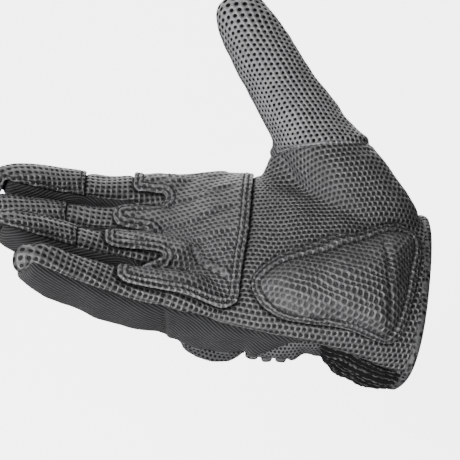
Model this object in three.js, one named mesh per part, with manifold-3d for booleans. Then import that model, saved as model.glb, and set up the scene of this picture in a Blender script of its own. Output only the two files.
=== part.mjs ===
// A right tactical glove in the shape that it holds when worn, in millimetres.
//
// x runs from the fingers to the wrist, y from the little finger's edge to the thumb, and z out of
// the palm. The tables are measured from the middle finger's knuckle, and the whole glove is then
// set with the middle of its wrist opening at the origin.
//
// A hollow shell is lofted through sections of the palm, the four fingers and the thumb. It is then
// cut along the sewn seams into the leather and cloth panels. Overlays, the padded heel, the
// knuckle guard and the edge binding lie on the shell with a thin gap.

import * as THREE from "three";
import Module from "manifold-3d";

const wasm = await Module();
wasm.setup();

// Sizes

const WALL = 1.6;               // leather and cloth of the shell
const SEAM_GAP = 0.4;           // between two panels that are sewn together
const LIFT = 0.35;              // between an overlay and what it lies on
const OVERLAY = 1.3;            // palm overlay and fingertip patches
const BINDING_WIDTH = 3.4;
const BINDING_THICKNESS = 1.2;  // how far the binding stands out from the shell
const PAD_EDGE = 1.4;           // heel pad at its stitched border
const PAD_CROWN = 5.5;          // heel pad in the middle
const GATHER_HEIGHT = 1.5;      // ridges of the gathered wrist
const GATHER_RIDGES = 14;
const SQUARENESS = 2.4;         // power of the rounded sections: 2 is an ellipse

const FINGER_SIDES = 10;
const TRUNK_SIDES = 20;
const THUMB_SIDES = 12;

// A table is a list of column names and its rows.
function table(columns, rows) {
  return rows.map((row) => Object.fromEntries(columns.map((name, i) => [name, row[i]])));
}

// Palm and wrist, from the finger webs to the opening. Angles are in degrees: pitch drops the
// wrist towards the back, yaw swings it to the little finger, roll turns it.
const TRUNK = table(
  ["x", "y", "z", "half", "palm", "back", "pitch", "yaw", "roll"],
  [
    [-21.2, 3, 0, 38, 7, 6, 0, 0, 0],
    [-19.5, 2.5, -0.5, 43, 11, 9.5, 0, 0, 0],
    [-8, 1.5, -1, 46.5, 13, 12, 0, 0, 0],
    [6, 1, -1, 47.5, 14, 14.5, 0, 0, 0],
    [22, 0, -1, 47, 15, 15, 0, 0, 0],
    [38, -2, -2, 45, 17.5, 14, 4, 0, 2],
    [52, -5, -4, 42, 20.5, 17, 10, 4, 6],
    [62, -7, -7, 40.5, 22, 27, 14, 6, 8],
    [73, -7, -12, 41, 23.5, 38, 17, 7, 10],
    [82, -7.5, -16.5, 41, 23, 38, 17, 6, 12],
    [91, -7.5, -20.5, 40.5, 22, 31, 17, 4, 13],
  ],
);

// Each finger: its knuckle, the splay to the little finger's side, the bends at its three joints,
// its length from knuckle to tip, and its half width and half thickness beyond the web.
const FINGERS = table(
  ["name", "x", "y", "z", "splay", "bend1", "bend2", "bend3", "length", "half", "thick"],
  [
    ["index", 2, 33, -1, 0.5, 4.5, 9, 7, 99, 10, 11],
    ["middle", 0, 12, 0, 0.5, 5, 9, 3, 107, 10, 11],
    ["ring", 4, -9.5, 2, 1.5, 12, 12, 8, 102, 9.8, 10.8],
    ["pinky", 8, -30.5, 1, 3, 15, 15, 11, 96, 10.6, 12],
  ],
);

// How a finger's section changes from the knuckle (share 0) to the tip (share 1).
const FINGER_PROFILE = table(
  ["share", "wide", "tall"],
  [
    [0.0, 0.9, 0.75],
    [0.25, 1.05, 1.05],
    [0.46, 0.99, 0.99],
    [0.62, 0.95, 0.93],
    [0.77, 0.91, 0.88],
    [0.91, 0.79, 0.72],
    [1.0, 0.34, 0.28],
  ],
);
const JOINTS = table(["share", "spread"], [[0.47, 0.1], [0.74, 0.08]]);

// The thumb, from inside the wrist to its tip.
const THUMB = table(
  ["x", "y", "z", "half", "thick"],
  [
    [87, 3, -14, 15, 13],
    [75, 21, -1, 21, 19],
    [61, 40, 11, 20, 18],
    [48, 58, 21, 17, 16],
    [38, 72, 30, 15.3, 14],
    [30, 84, 38, 14.5, 13],
    [22, 96, 45, 13.8, 12.3],
    [15.5, 106.5, 51, 11.8, 10.5],
    [12.2, 111.5, 53.8, 8, 7],
    [11, 113.5, 54.8, 3.5, 3],
  ],
);

// The fold of leather between the thumb and the index finger.
const WEB = table(
  ["x", "y", "z", "half", "thick"],
  [
    [36, 28, 2, 14, 8],
    [40, 42, 6, 14, 8],
    [42.5, 52, 12, 13, 8.5],
    [46, 60, 19, 9, 8],
  ],
);

// Seams, as angles round a section: 0 at the thumb's side, 90 at the palm, 180 at the little
// finger's edge, 270 at the back. The cloth side panel lies between edge and low.
const TRUNK_SEAMS = table(
  ["x", "thumb", "edge", "low"],
  [
    [-30, 18, 122, 226],
    [-17, 18, 124, 218],
    [-8, 18, 134, 214],
    [6, 18, 153, 206],
    [22, 14, 164, 198],
    [38, 6, 173, 178],
    [52, 0, 171, 171.5],
    [73, -4, 168, 168.5],
    [110, -6, 169, 169.5],
  ],
);
const FINGER_SEAMS = {
  index: { thumb: 18, edge: 136, low: 222, back: 322 },
  middle: { thumb: 50, edge: 126, low: 222, back: 322 },
  ring: { thumb: 50, edge: 126, low: 222, back: 322 },
  pinky: { thumb: 50, edge: 133, low: 232, back: 322 },
};
const THUMB_SEAMS = { from: -14, to: 152 };
const WRIST_SEAM_X = 50;        // the back panel ends here and the gathered wrist begins
const WEB_SEAM_X = -17;         // the cloth walls between the fingers begin here
const TIP_CAP = 5;              // how much of a fingertip the front leather wraps
const TIP_CAP_RADIUS = 12;
const STRIP_REACH = 1.5;        // how far a finger's strip reaches past the finger
const SEAM_OVERLAP = 6;         // in degrees, over a panel that is already taken
const PANEL_TIP_X = 42;         // the side panel runs out to a point here
const THUMB_SEAM = {            // the plane of the seam round the thumb
  point: new THREE.Vector3(50, 50, 17.5),
  normal: new THREE.Vector3(-0.1, 0.8, 0.6).normalize(),
};

// The palm overlay's outline in the palm's plane, without its finger tabs. Every corner is rounded
// to its own radius.
const OVERLAY_OUTLINE = table(
  ["x", "y", "radius"],
  [
    [23, 60, 1],
    [19.5, 3, 10],
    [16.5, -17, 6],
    [14.5, -35, 3],
    [8, -37, 3.5],
    [-1, -33, 4],
    [-11, -31, 4],
    [-22, -33, 1],
    [-22, 60, 1],
  ],
);
// Its tabs, each from the body of the overlay to an end on the finger.
const OVERLAY_TABS = table(
  ["end", "low", "high", "radius"],
  [
    [-36.5, -36, -22.5, 5],
    [-43, -14, -1.5, 5],
    [-40.5, 5, 17, 4.5],
    [-32.5, 27, 60, 3],
  ],
);

// The heel pad's outline round its middle, as angles and radii in the palm's plane.
const PAD_CENTRE = { x: 56, angle: 118 };
const PAD_OUTLINE = table(
  ["along", "round"],
  [
    [-35.5, 4],
    [-33, -7],
    [-24, -18],
    [-12, -26],
    [5, -40],
    [14, -53],
    [23, -63],
    [30, -63],
    [32, -52],
    [31, -26],
    [29.5, 0],
    [27, 17],
    [21, 25],
    [5, 26],
    [-10, 31],
    [-22, 31],
    [-31, 20],
  ],
);
const PAD_SIDES = 26;

// The knuckle guard: how far it rises along the back, and where its four domes sit round it.
const GUARD_RISE = table(
  ["x", "rise"],
  [
    [-11, 1.2],
    [-8, 4],
    [-3, 7.2],
    [4, 8.4],
    [11, 7.6],
    [15, 5.2],
    [17.4, 3.6],
  ],
);
const GUARD_DOMES = [220, 258, 281, 306];
const GUARD_DOME_WIDTH = 15;    // half of a dome, in degrees
const GUARD_VALLEY = 0.55;      // height between two domes, as a share of a dome's
const GUARD_SPAN = { start: 203, end: 326, steps: 16 };
const RIBS = table(
  ["from", "to", "height"],
  [
    [18, 23.5, 4],
    [24.5, 30, 5.2],
    [31, 36.5, 5],
    [37.5, 42, 3],
  ],
);
const RIB_SPAN = { start: 204, end: 338 };
const PATCH_START = { index: 0.57, middle: 0.575, ring: 0.575 };

// Colours

const LEATHER = { color: 0x242424, roughness: 0.48, metalness: 0 };
const CLOTH = { color: 0x1c1c1c, roughness: 0.85, metalness: 0 };
const MESH_CLOTH = { color: 0x202020, roughness: 0.8, metalness: 0 };

// Sections

const AXIS_X = new THREE.Vector3(1, 0, 0);
const AXIS_Y = new THREE.Vector3(0, 1, 0);
const AXIS_Z = new THREE.Vector3(0, 0, 1);

function turned(yaw, pitch, roll) {
  const rad = THREE.MathUtils.degToRad;
  return new THREE.Quaternion()
    .setFromAxisAngle(AXIS_Z, rad(yaw))
    .multiply(new THREE.Quaternion().setFromAxisAngle(AXIS_Y, rad(pitch)))
    .multiply(new THREE.Quaternion().setFromAxisAngle(AXIS_X, rad(roll)));
}

// A section is a centre, the directions across and out of the palm, and its half sizes.
function section(centre, turn, half, palm, back) {
  return {
    centre,
    across: AXIS_Y.clone().applyQuaternion(turn),
    out: AXIS_Z.clone().applyQuaternion(turn),
    half,
    palm,
    back,
  };
}

// A point on a section's rounded outline at an angle in degrees, grown outwards by a distance.
function onSection(s, angle, grow = 0, scale = 1) {
  const a = THREE.MathUtils.degToRad(angle);
  const bent = (v) => Math.sign(v) * Math.abs(v) ** (2 / SQUARENESS);
  const across = bent(Math.cos(a)) * (s.half + grow) * scale;
  const height = Math.sin(a) > 0 ? s.palm : s.back;
  const out = bent(Math.sin(a)) * (height + grow) * scale;
  return s.centre.clone().addScaledVector(s.across, across).addScaledVector(s.out, out);
}

const trunkSections = TRUNK.map((r) =>
  section(new THREE.Vector3(r.x, r.y, r.z), turned(-r.yaw, r.pitch, r.roll), r.half, r.palm, r.back),
);

function smoothStep(low, high, x) {
  const t = Math.min(1, Math.max(0, (x - low) / (high - low)));
  return t * t * (3 - 2 * t);
}

// Walks out along a finger from its knuckle, turning at the joints, and lays a section at each
// share of the profile.
function fingerSections(f) {
  const steps = 200;
  const at = new THREE.Vector3(f.x, f.y, f.z);
  const made = [];
  let next = 0;
  for (let i = 0; i <= steps; i += 1) {
    const share = i / steps;
    const bend =
      f.bend1 +
      [f.bend2, f.bend3].reduce((sum, angle, j) => {
        const joint = JOINTS[j];
        return sum + angle * smoothStep(joint.share - joint.spread, joint.share + joint.spread, share);
      }, 0);
    const turn = turned(f.splay, bend, 0);
    if (next < FINGER_PROFILE.length && share >= FINGER_PROFILE[next].share - 1e-9) {
      const p = FINGER_PROFILE[next];
      made.push(section(at.clone(), turn, f.half * p.wide, f.thick * p.tall, f.thick * p.tall));
      next += 1;
    }
    at.addScaledVector(AXIS_X.clone().negate().applyQuaternion(turn), f.length / steps);
  }
  return made;
}

// Sections across a path of centres, with out kept as near to the palm's direction as it can be.
function pathSections(rows) {
  const centres = rows.map((r) => new THREE.Vector3(r.x, r.y, r.z));
  return rows.map((r, i) => {
    const before = centres[Math.max(0, i - 1)];
    const after = centres[Math.min(rows.length - 1, i + 1)];
    const along = after.clone().sub(before).normalize();
    const out = AXIS_Z.clone().addScaledVector(along, -along.z).normalize();
    const across = out.clone().cross(along);
    return { centre: centres[i], across, out, half: r.half, palm: r.thick, back: r.thick };
  });
}

const fingers = Object.fromEntries(FINGERS.map((f) => [f.name, fingerSections(f)]));
const thumbSections = pathSections(THUMB);
const webSections = pathSections(WEB);

// Solids

function solidOf(points, faces) {
  const vertProperties = new Float32Array(points.flatMap((p) => p.toArray()));
  const triVerts = new Uint32Array(faces.flat());
  const made = new wasm.Manifold(new wasm.Mesh({ numProp: 3, vertProperties, triVerts }));
  return made.volume() < 0 ? solidOf(points, faces.map(([a, b, c]) => [a, c, b])) : made;
}

// Joins rings of equally many points, and closes each end with a fan from the given point.
function loft(rings, firstPoint, lastPoint) {
  const n = rings[0].length;
  const points = [...rings.flat(), firstPoint, lastPoint];
  const first = rings.length * n;
  const faces = [];
  for (let r = 0; r < rings.length - 1; r += 1) {
    for (let i = 0; i < n; i += 1) {
      const a = r * n + i;
      const b = r * n + ((i + 1) % n);
      faces.push([a, b, b + n], [a, b + n, a + n]);
    }
  }
  for (let i = 0; i < n; i += 1) {
    const j = (i + 1) % n;
    faces.push([first, j, i], [first + 1, first - n + i, first - n + j]);
  }
  return solidOf(points, faces);
}

function tube(sections, sides, grow = 0) {
  const rings = sections.map((s) =>
    Array.from({ length: sides }, (_, i) => onSection(s, (360 * i) / sides, grow)),
  );
  return loft(rings, sections[0].centre.clone(), sections.at(-1).centre.clone());
}

// The part of space round some sections between two angles, out to a multiple of their size. The
// angles may be numbers or functions of a section, and the part grows sideways by a distance.
function sector(sections, from, to, reach, sides = 14, grow = 0) {
  const angleAt = (angle, s) => (typeof angle === "function" ? angle(s) : angle);
  const rings = sections.map((s) => {
    const wider = THREE.MathUtils.radToDeg(grow / s.half);
    const start = angleAt(from, s) - wider;
    const step = (angleAt(to, s) + wider - start) / sides;
    const scale = reach + grow / s.half;
    const arc = Array.from({ length: sides + 1 }, (_, i) => onSection(s, start + step * i, 0, scale));
    return [s.centre.clone(), ...arc];
  });
  const middle = (ring) => ring[0].clone().lerp(ring[Math.ceil(ring.length / 2)], 0.4);
  return loft(rings, middle(rings[0]), middle(rings.at(-1)));
}

// Everything past a plane.
function beyond(point, normal) {
  const u = new THREE.Vector3(normal.y, -normal.x, 0).normalize();
  const v = normal.clone().cross(u);
  const square = (centre) =>
    [[-1, -1], [1, -1], [1, 1], [-1, 1]].map(([a, b]) =>
      centre.clone().addScaledVector(u, a * 150).addScaledVector(v, b * 150),
    );
  const far = point.clone().addScaledVector(normal, 150);
  return loft([square(point), square(far)], point.clone(), far.clone());
}

// Everything between two values of x.
function slab(low, high) {
  const box = new THREE.BoxGeometry(high - low, 400, 400);
  box.translate((low + high) / 2, 0, 0);
  const at = box.attributes.position;
  const corners = [];
  const faces = [];
  const found = new Map();
  const index = Array.from(box.index.array, (i) => {
    const p = new THREE.Vector3().fromBufferAttribute(at, i);
    const key = p.toArray().join();
    if (!found.has(key)) {
      found.set(key, corners.length);
      corners.push(p);
    }
    return found.get(key);
  });
  for (let i = 0; i < index.length; i += 3) {
    faces.push(index.slice(i, i + 3));
  }
  return solidOf(corners, faces);
}

// A straight prism out of the palm's plane, over an outline with no deep notch.
function prism(outline, low, high) {
  const middle = outline.reduce((sum, p) => sum.add(p), new THREE.Vector2()).divideScalar(outline.length);
  const ring = (z) => outline.map((p) => new THREE.Vector3(p.x, p.y, z));
  return loft(
    [ring(low), ring(high)],
    new THREE.Vector3(middle.x, middle.y, low),
    new THREE.Vector3(middle.x, middle.y, high),
  );
}

function together(solids) {
  return solids.reduce((sum, one) => sum.add(one));
}

const openingSection = trunkSections.at(-1);
const openingOutward = openingSection.across.clone().cross(openingSection.out).normalize();
const pastOpening = beyond(openingSection.centre, openingOutward);

// The whole glove's outside, grown by a distance.
function body(grow) {
  return together([
    tube(trunkSections, TRUNK_SIDES, grow),
    ...Object.values(fingers).map((sections) => tube(sections, FINGER_SIDES, grow)),
    tube(thumbSections, THUMB_SIDES, grow),
    tube(webSections, FINGER_SIDES, grow),
  ]).subtract(pastOpening);
}

// The room inside. It runs out past the wrist opening, and each end is drawn in by the wall.
function hollow() {
  const shorter = (sections) => {
    const tip = sections.at(-1);
    const before = sections.at(-2);
    const back = before.centre.clone().sub(tip.centre).normalize();
    return sections.map((s, i) =>
      i < sections.length - 3
        ? s
        : { ...s, centre: s.centre.clone().addScaledVector(back, WALL) },
    );
  };
  const thin = (sections) => sections.filter((s) => Math.min(s.half, s.palm, s.back) > WALL + 0.6);
  const past = {
    ...openingSection,
    centre: openingSection.centre.clone().addScaledVector(openingOutward, 12),
  };
  const palm = trunkSections.map((s, i) =>
    i < 2 ? { ...s, centre: s.centre.clone().addScaledVector(AXIS_X, WALL) } : s,
  );
  return together([
    tube([...palm, past], TRUNK_SIDES, -WALL),
    ...Object.values(fingers).map((sections) => tube(thin(shorter(sections)), FINGER_SIDES, -WALL)),
    tube(thin(shorter(thumbSections)), THUMB_SIDES, -WALL),
    tube(webSections, FINGER_SIDES, -WALL - 0.8),
  ]);
}

const outside = body(0);
const seat = body(LIFT);
const shell = outside.subtract(hollow());

// Regions of the seams

const AROUND = 1.7;             // how far a region reaches past the shell, as a multiple

function seamAt(column) {
  return (s) => {
    const x = s.centre.x;
    const last = TRUNK_SEAMS.length - 1;
    const i = Math.min(last - 1, Math.max(0, TRUNK_SEAMS.findIndex((r) => r.x > x) - 1));
    const [a, b] = [TRUNK_SEAMS[i], TRUNK_SEAMS[i + 1]];
    const t = (x - a.x) / (b.x - a.x);
    return a[column] + (b[column] - a[column]) * t;
  };
}

// Regions of the trunk run past both of its ends.
function longTrunk() {
  const first = trunkSections[2];
  const last = openingSection;
  return [
    { ...first, centre: first.centre.clone().add(new THREE.Vector3(-50, 0, 0)) },
    ...trunkSections.slice(2),
    { ...last, centre: last.centre.clone().addScaledVector(openingOutward, 8) },
  ];
}
const trunkRegion = longTrunk();

// A finger's sections a little larger than the finger, and run on past its tip.
function wideTip(sections, first) {
  const tip = sections.at(-1);
  const along = tip.centre.clone().sub(sections.at(-2).centre).normalize();
  const grown = sections.slice(first).map((s, i, all) => {
    const more = i < all.length - 2 ? STRIP_REACH : TIP_CAP;
    return { ...s, half: s.half + more, palm: s.palm + more, back: s.back + more };
  });
  return [...grown, { ...grown.at(-1), centre: tip.centre.clone().addScaledVector(along, TIP_CAP) }];
}

// A strip along a finger from the web to past its tip, between two angles.
function fingerStrip(name, from, to, grow, first = 0) {
  return sector(wideTip(fingers[name], first), from, to, 1, 6, grow);
}

// The end of a finger or of the thumb, which one panel wraps.
function tipCap(sections, grow) {
  const tip = sections.at(-1);
  const along = tip.centre.clone().sub(sections.at(-2).centre).normalize();
  const at = (shift) => ({
    ...tip,
    centre: tip.centre.clone().addScaledVector(along, shift),
    half: TIP_CAP_RADIUS,
    palm: TIP_CAP_RADIUS,
    back: TIP_CAP_RADIUS,
  });
  return tube([at(-TIP_CAP - grow), at(TIP_CAP)], 6);
}

// Everything past the plane of the thumb's seam.
function thumbZone(shift) {
  return beyond(THUMB_SEAM.point.clone().addScaledVector(THUMB_SEAM.normal, shift), THUMB_SEAM.normal);
}

// Takes each panel out of what the panels before it have left, with a thin gap between them.
let rest = shell;
const pieces = [];

function piece(name, solid, look) {
  pieces.push({ name, solid, look });
}

function largest(solid) {
  return solid.decompose().sort((a, b) => b.volume() - a.volume())[0];
}

function panel(name, look, region) {
  piece(name, largest(rest.intersect(region(0))), look);
  rest = rest.subtract(region(SEAM_GAP));
}

// Shell panels

const names = FINGERS.map((f) => f.name);
const thumbRegion = wideTip(thumbSections, 1);

// The leather widens to all of the palm's side where the thumb meets the palm.
const thumbSeam = (s) => THUMB_SEAMS.to + 40 * smoothStep(74, 50, s.centre.y);
panel("thumb_front", LEATHER, (grow) =>
  thumbZone(-grow)
    .intersect(sector(thumbRegion, THUMB_SEAMS.from, thumbSeam, AROUND, 10, grow))
    .add(tipCap(thumbSections, grow)),
);
panel("thumb_back", CLOTH, (grow) => thumbZone(-grow));

panel("palm_leather", LEATHER, (grow) =>
  together([
    sector(trunkRegion, seamAt("thumb"), seamAt("edge"), AROUND, 10, grow).intersect(
      slab(WEB_SEAM_X - grow, 160),
    ),
    ...names.map((name) => fingerStrip(name, FINGER_SEAMS[name].thumb, FINGER_SEAMS[name].edge, grow)),
    ...names.map((name) => tipCap(fingers[name], grow)),
  ]),
);

panel("side_panel", CLOTH, (grow) => {
  const { edge, low } = FINGER_SEAMS.pinky;
  const from = (s) => seamAt("edge")(s) - SEAM_OVERLAP;
  return sector(trunkRegion, from, seamAt("low"), AROUND, 6, grow)
    .intersect(slab(WEB_SEAM_X - grow, PANEL_TIP_X + grow))
    .add(fingerStrip("pinky", edge - SEAM_OVERLAP, low, grow).intersect(slab(-160, WEB_SEAM_X + grow)));
});

// The wall between two fingers runs out along one, round the web and back along the other.
names.forEach((name, i) => {
  panel(`${name}_side_wall`, CLOTH, (grow) => {
    const { back, thumb } = FINGER_SEAMS[name];
    const strips = [fingerStrip(name, back - 360, thumb + SEAM_OVERLAP, grow)];
    if (i > 0) {
      const { edge, low } = FINGER_SEAMS[names[i - 1]];
      strips.push(fingerStrip(names[i - 1], edge - SEAM_OVERLAP, low, grow));
    }
    return together(strips).intersect(slab(-160, WEB_SEAM_X + grow));
  });
});
panel("back_panel", MESH_CLOTH, (grow) => slab(-160, WRIST_SEAM_X + grow));

// The gathered wrist: ridges that run along the wrist, between the back panel and the opening.
function gather() {
  const sections = [...trunkSections.slice(5), trunkRegion.at(-1)];
  const low = (s) => seamAt("low")(s) + THREE.MathUtils.radToDeg(SEAM_GAP / s.half);
  const high = (s) => seamAt("thumb")(s) + 360 - THREE.MathUtils.radToDeg(SEAM_GAP / s.half);
  const ridge = (s, share) => {
    const puff = smoothStep(50, 58, s.centre.x);
    return (Math.round(share * GATHER_RIDGES * 2) % 2) * GATHER_HEIGHT * puff;
  };
  const count = GATHER_RIDGES * 2;
  const rings = sections.map((s) => {
    const at = (i) => low(s) + ((high(s) - low(s)) * i) / count;
    const over = Array.from({ length: count + 1 }, (_, i) => onSection(s, at(i), ridge(s, i / count)));
    const under = Array.from({ length: 12 }, (_, i) => onSection(s, at((count * (11 - i)) / 11), -WALL));
    return [...over, ...under];
  });
  return rings;
}

// Closes a strip of rings whose first points are the outer line and whose others are the inner line.
function stripSolid(rings, outer) {
  const n = rings[0].length;
  const faces = [];
  for (let r = 0; r < rings.length - 1; r += 1) {
    for (let i = 0; i < n; i += 1) {
      const a = r * n + i;
      const b = r * n + ((i + 1) % n);
      faces.push([a, b, b + n], [a, b + n, a + n]);
    }
  }
  const capFaces = (ring, flip) => {
    const inner = n - outer;
    const made = [];
    let i = 0;
    let j = 0;
    const low = (k) => n - 1 - k;
    while (i < outer - 1 || j < inner - 1) {
      if (j === inner - 1 || (i < outer - 1 && (i + 1) / (outer - 1) <= (j + 1) / (inner - 1))) {
        made.push([i, i + 1, low(j)]);
        i += 1;
      } else {
        made.push([i, low(j + 1), low(j)]);
        j += 1;
      }
    }
    return made.map((f) => (flip ? [f[0], f[2], f[1]] : f).map((k) => k + ring * n));
  };
  faces.push(...capFaces(0, true), ...capFaces(rings.length - 1, false));
  return solidOf(rings.flat(), faces);
}

const gathered = stripSolid(gather(), GATHER_RIDGES * 2 + 1)
  .intersect(slab(WRIST_SEAM_X + SEAM_GAP, 160))
  .subtract(pastOpening)
  .subtract(tube(thumbSections, THUMB_SIDES, LIFT));
piece("wrist_gather", largest(gathered), MESH_CLOTH);

// What is left of the thumb's root behind the palm: the cloth gusset beside the gathered wrist.
piece(
  "thumb_gusset",
  largest(
    rest
      .intersect(slab(WRIST_SEAM_X + SEAM_GAP, 160))
      .subtract(tube(trunkSections, TRUNK_SIDES, GATHER_HEIGHT + SEAM_GAP)),
  ),
  CLOTH,
);

// Overlays

// An outline's points, with each corner rounded by a short curve.
function rounded(corners) {
  const n = corners.length;
  const at = corners.map((c) => new THREE.Vector2(c.x, c.y));
  const shape = new THREE.Shape();
  corners.forEach((corner, i) => {
    const towards = (j) => at[i].clone().add(at[j].clone().sub(at[i]).setLength(corner.radius));
    const start = towards((i + n - 1) % n);
    const end = towards((i + 1) % n);
    if (i === 0) {
      shape.moveTo(start.x, start.y);
    } else {
      shape.lineTo(start.x, start.y);
    }
    shape.quadraticCurveTo(at[i].x, at[i].y, end.x, end.y);
  });
  return shape.getPoints(2);
}

function tabOutline({ end, low, high, radius }) {
  const corners = [[end, low], [end, high], [0, high], [0, low]];
  return rounded(corners.map(([x, y]) => ({ x, y, radius })));
}
const overlayPrism = together(
  [rounded(OVERLAY_OUTLINE), ...OVERLAY_TABS.map(tabOutline)].map((flat) => prism(flat, 1, 60)),
);
const overlaySkin = body(LIFT + OVERLAY).subtract(seat);
piece(
  "palm_overlay",
  largest(
    overlaySkin
      .subtract(thumbZone(-6))
      .subtract(tube(webSections, FINGER_SIDES, 3))
      .intersect(overlayPrism),
  ),
  LEATHER,
);

for (const [name, share] of Object.entries(PATCH_START)) {
  const { thumb, edge } = FINGER_SEAMS[name];
  const f = FINGERS.find((row) => row.name === name);
  piece(
    `${name}_tip_patch`,
    largest(
      overlaySkin
        .intersect(fingerStrip(name, thumb + 2, edge - 2, 0, 3))
        .intersect(slab(-160, f.x - f.length * share)),
    ),
    LEATHER,
  );
}

// The heel pad: a crowned cushion over the heel of the palm, thin at its stitched border.
function trunkAt(x) {
  const last = trunkSections.length - 2;
  const above = trunkSections.findIndex((s) => s.centre.x > x);
  const i = above < 0 ? last : Math.max(0, above - 1);
  const [a, b] = [trunkSections[i], trunkSections[i + 1]];
  const t = (x - a.centre.x) / (b.centre.x - a.centre.x);
  const mix = (p, q) => p + (q - p) * t;
  return {
    centre: a.centre.clone().lerp(b.centre, t),
    across: a.across.clone().lerp(b.across, t).normalize(),
    out: a.out.clone().lerp(b.out, t).normalize(),
    half: mix(a.half, b.half),
    palm: mix(a.palm, b.palm),
    back: mix(a.back, b.back),
  };
}

function padPoint(p, share, grow) {
  return onSection(trunkAt(PAD_CENTRE.x + p.x * share), PAD_CENTRE.angle + p.y * share, grow);
}

const padEdge = new THREE.CatmullRomCurve3(
  PAD_OUTLINE.map((p) => new THREE.Vector3(p.along, p.round, 0)),
  true,
  "centripetal",
).getSpacedPoints(PAD_SIDES).slice(0, PAD_SIDES);
const middleOfPad = new THREE.Vector3(0, 0, 0);

// The column of space over the pad's outline.
function padColumn() {
  const depths = [-8, 12];
  return loft(
    depths.map((grow) => padEdge.map((p) => padPoint(p, 1, grow))),
    padPoint(middleOfPad, 1, depths[0]),
    padPoint(middleOfPad, 1, depths[1]),
  );
}

function padCrown() {
  const shares = [0.96, 0.82, 0.55];
  const height = (share) => PAD_EDGE + (PAD_CROWN - PAD_EDGE) * smoothStep(1, 0.35, share) ** 0.6;
  const rings = shares.map((share) => padEdge.map((p) => padPoint(p, share, LIFT + height(share))));
  const base = padEdge.map((p) => padPoint(p, shares[0], -1));
  return loft(
    [base, ...rings],
    padPoint(middleOfPad, 1, -6),
    padPoint(middleOfPad, 1, LIFT + PAD_CROWN),
  );
}

piece(
  "heel_pad",
  largest(
    body(LIFT + PAD_EDGE)
      .intersect(padColumn())
      .add(padCrown())
      .subtract(seat)
      .subtract(body(LIFT * 2 + OVERLAY).intersect(overlayPrism)),
  ),
  LEATHER,
);

// Knuckle guard: a strip over the back of the knuckles, raised to four domes.
function guardHeight(angle, rise) {
  const domes = GUARD_DOMES.map((centre) => 1 - ((angle - centre) / GUARD_DOME_WIDTH) ** 2);
  return rise * (GUARD_VALLEY + (1 - GUARD_VALLEY) * Math.max(0, ...domes));
}

function guard() {
  const { start, end, steps } = GUARD_SPAN;
  const angles = Array.from({ length: steps + 1 }, (_, i) => start + ((end - start) * i) / steps);
  const under = angles.filter((_, i) => i % 2 === 0).reverse();
  const rings = GUARD_RISE.map(({ x, rise }) => {
    const at = trunkAt(x);
    return [
      ...angles.map((angle) => onSection(at, angle, LIFT + guardHeight(angle, rise))),
      ...under.map((angle) => onSection(at, angle, -1)),
    ];
  });
  return stripSolid(rings, angles.length).subtract(seat);
}
piece("knuckle_guard", largest(guard()), MESH_CLOTH);

RIBS.forEach((rib, i) => {
  piece(
    `flex_rib_${i + 1}`,
    largest(
      body(LIFT + rib.height)
        .subtract(seat)
        .intersect(slab(rib.from, rib.to))
        .intersect(sector(trunkRegion, RIB_SPAN.start, RIB_SPAN.end, AROUND)),
    ),
    MESH_CLOTH,
  );
});

// Binding round the edge of the wrist opening, just past the end of the shell.
function band(grow, from, to) {
  const rings = [from, to].map((shift) => ({
    ...openingSection,
    centre: openingSection.centre.clone().addScaledVector(openingOutward, shift),
  }));
  return tube(rings, TRUNK_SIDES, grow);
}
piece(
  "cuff_binding",
  band(BINDING_THICKNESS, LIFT, LIFT + BINDING_WIDTH).subtract(band(-WALL, 0, BINDING_WIDTH + 1)),
  LEATHER,
);

// The finished glove

function geometryOf(solid) {
  const mesh = solid.getMesh();
  const geometry = new THREE.BufferGeometry();
  geometry.setAttribute("position", new THREE.BufferAttribute(new Float32Array(mesh.vertProperties), 3));
  geometry.setIndex(new THREE.BufferAttribute(new Uint32Array(mesh.triVerts), 1));
  return geometry;
}

const glove = new THREE.Group();
glove.position.copy(openingSection.centre).negate();
for (const { name, solid, look } of pieces) {
  const mesh = new THREE.Mesh(geometryOf(solid), new THREE.MeshStandardMaterial(look));
  mesh.name = name;
  glove.add(mesh);
}

export default glove;
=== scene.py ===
"""A worn tactical glove: perforated leather, stretch cloth, padding, gathers and stitching.

All shapes are worked out in millimetres in the glove's own tables, whose zero is the middle
finger's knuckle, and each finished mesh is then set in the frame, in metres.
"""

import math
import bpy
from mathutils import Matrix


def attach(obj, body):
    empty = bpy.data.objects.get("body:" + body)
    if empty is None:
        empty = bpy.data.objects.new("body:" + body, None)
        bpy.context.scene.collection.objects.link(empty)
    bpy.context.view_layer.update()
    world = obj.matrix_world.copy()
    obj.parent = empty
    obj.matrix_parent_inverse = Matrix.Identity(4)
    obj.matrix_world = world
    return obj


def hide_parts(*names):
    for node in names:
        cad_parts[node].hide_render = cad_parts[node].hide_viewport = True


bl_info = {
    "name": "Tactical Glove",
    "version": (1, 0, 0),
    "blender": (4, 5, 0),
    "location": "View3D > Sidebar > Glove",
    "description": "Builds a worn tactical glove out of leather and cloth panels, padding and thread",
    "category": "Add Mesh",
}

from functools import lru_cache

import bmesh
import bpy
import numpy as np
from bpy.props import FloatProperty, FloatVectorProperty, PointerProperty
from mathutils import Matrix, Vector

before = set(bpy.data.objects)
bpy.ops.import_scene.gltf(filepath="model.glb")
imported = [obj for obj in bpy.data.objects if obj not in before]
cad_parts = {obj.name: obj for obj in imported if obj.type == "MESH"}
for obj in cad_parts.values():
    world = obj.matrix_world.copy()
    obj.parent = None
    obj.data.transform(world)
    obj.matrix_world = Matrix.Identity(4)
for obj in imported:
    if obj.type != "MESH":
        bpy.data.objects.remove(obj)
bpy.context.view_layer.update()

MM = 0.001


# Tables, the same as the solids are made from

def table(columns, *rows):
    """Rows of numbers as one array for each named column."""
    return {name: np.array(column, float) for name, column in zip(columns.split(), zip(*rows))}


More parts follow.
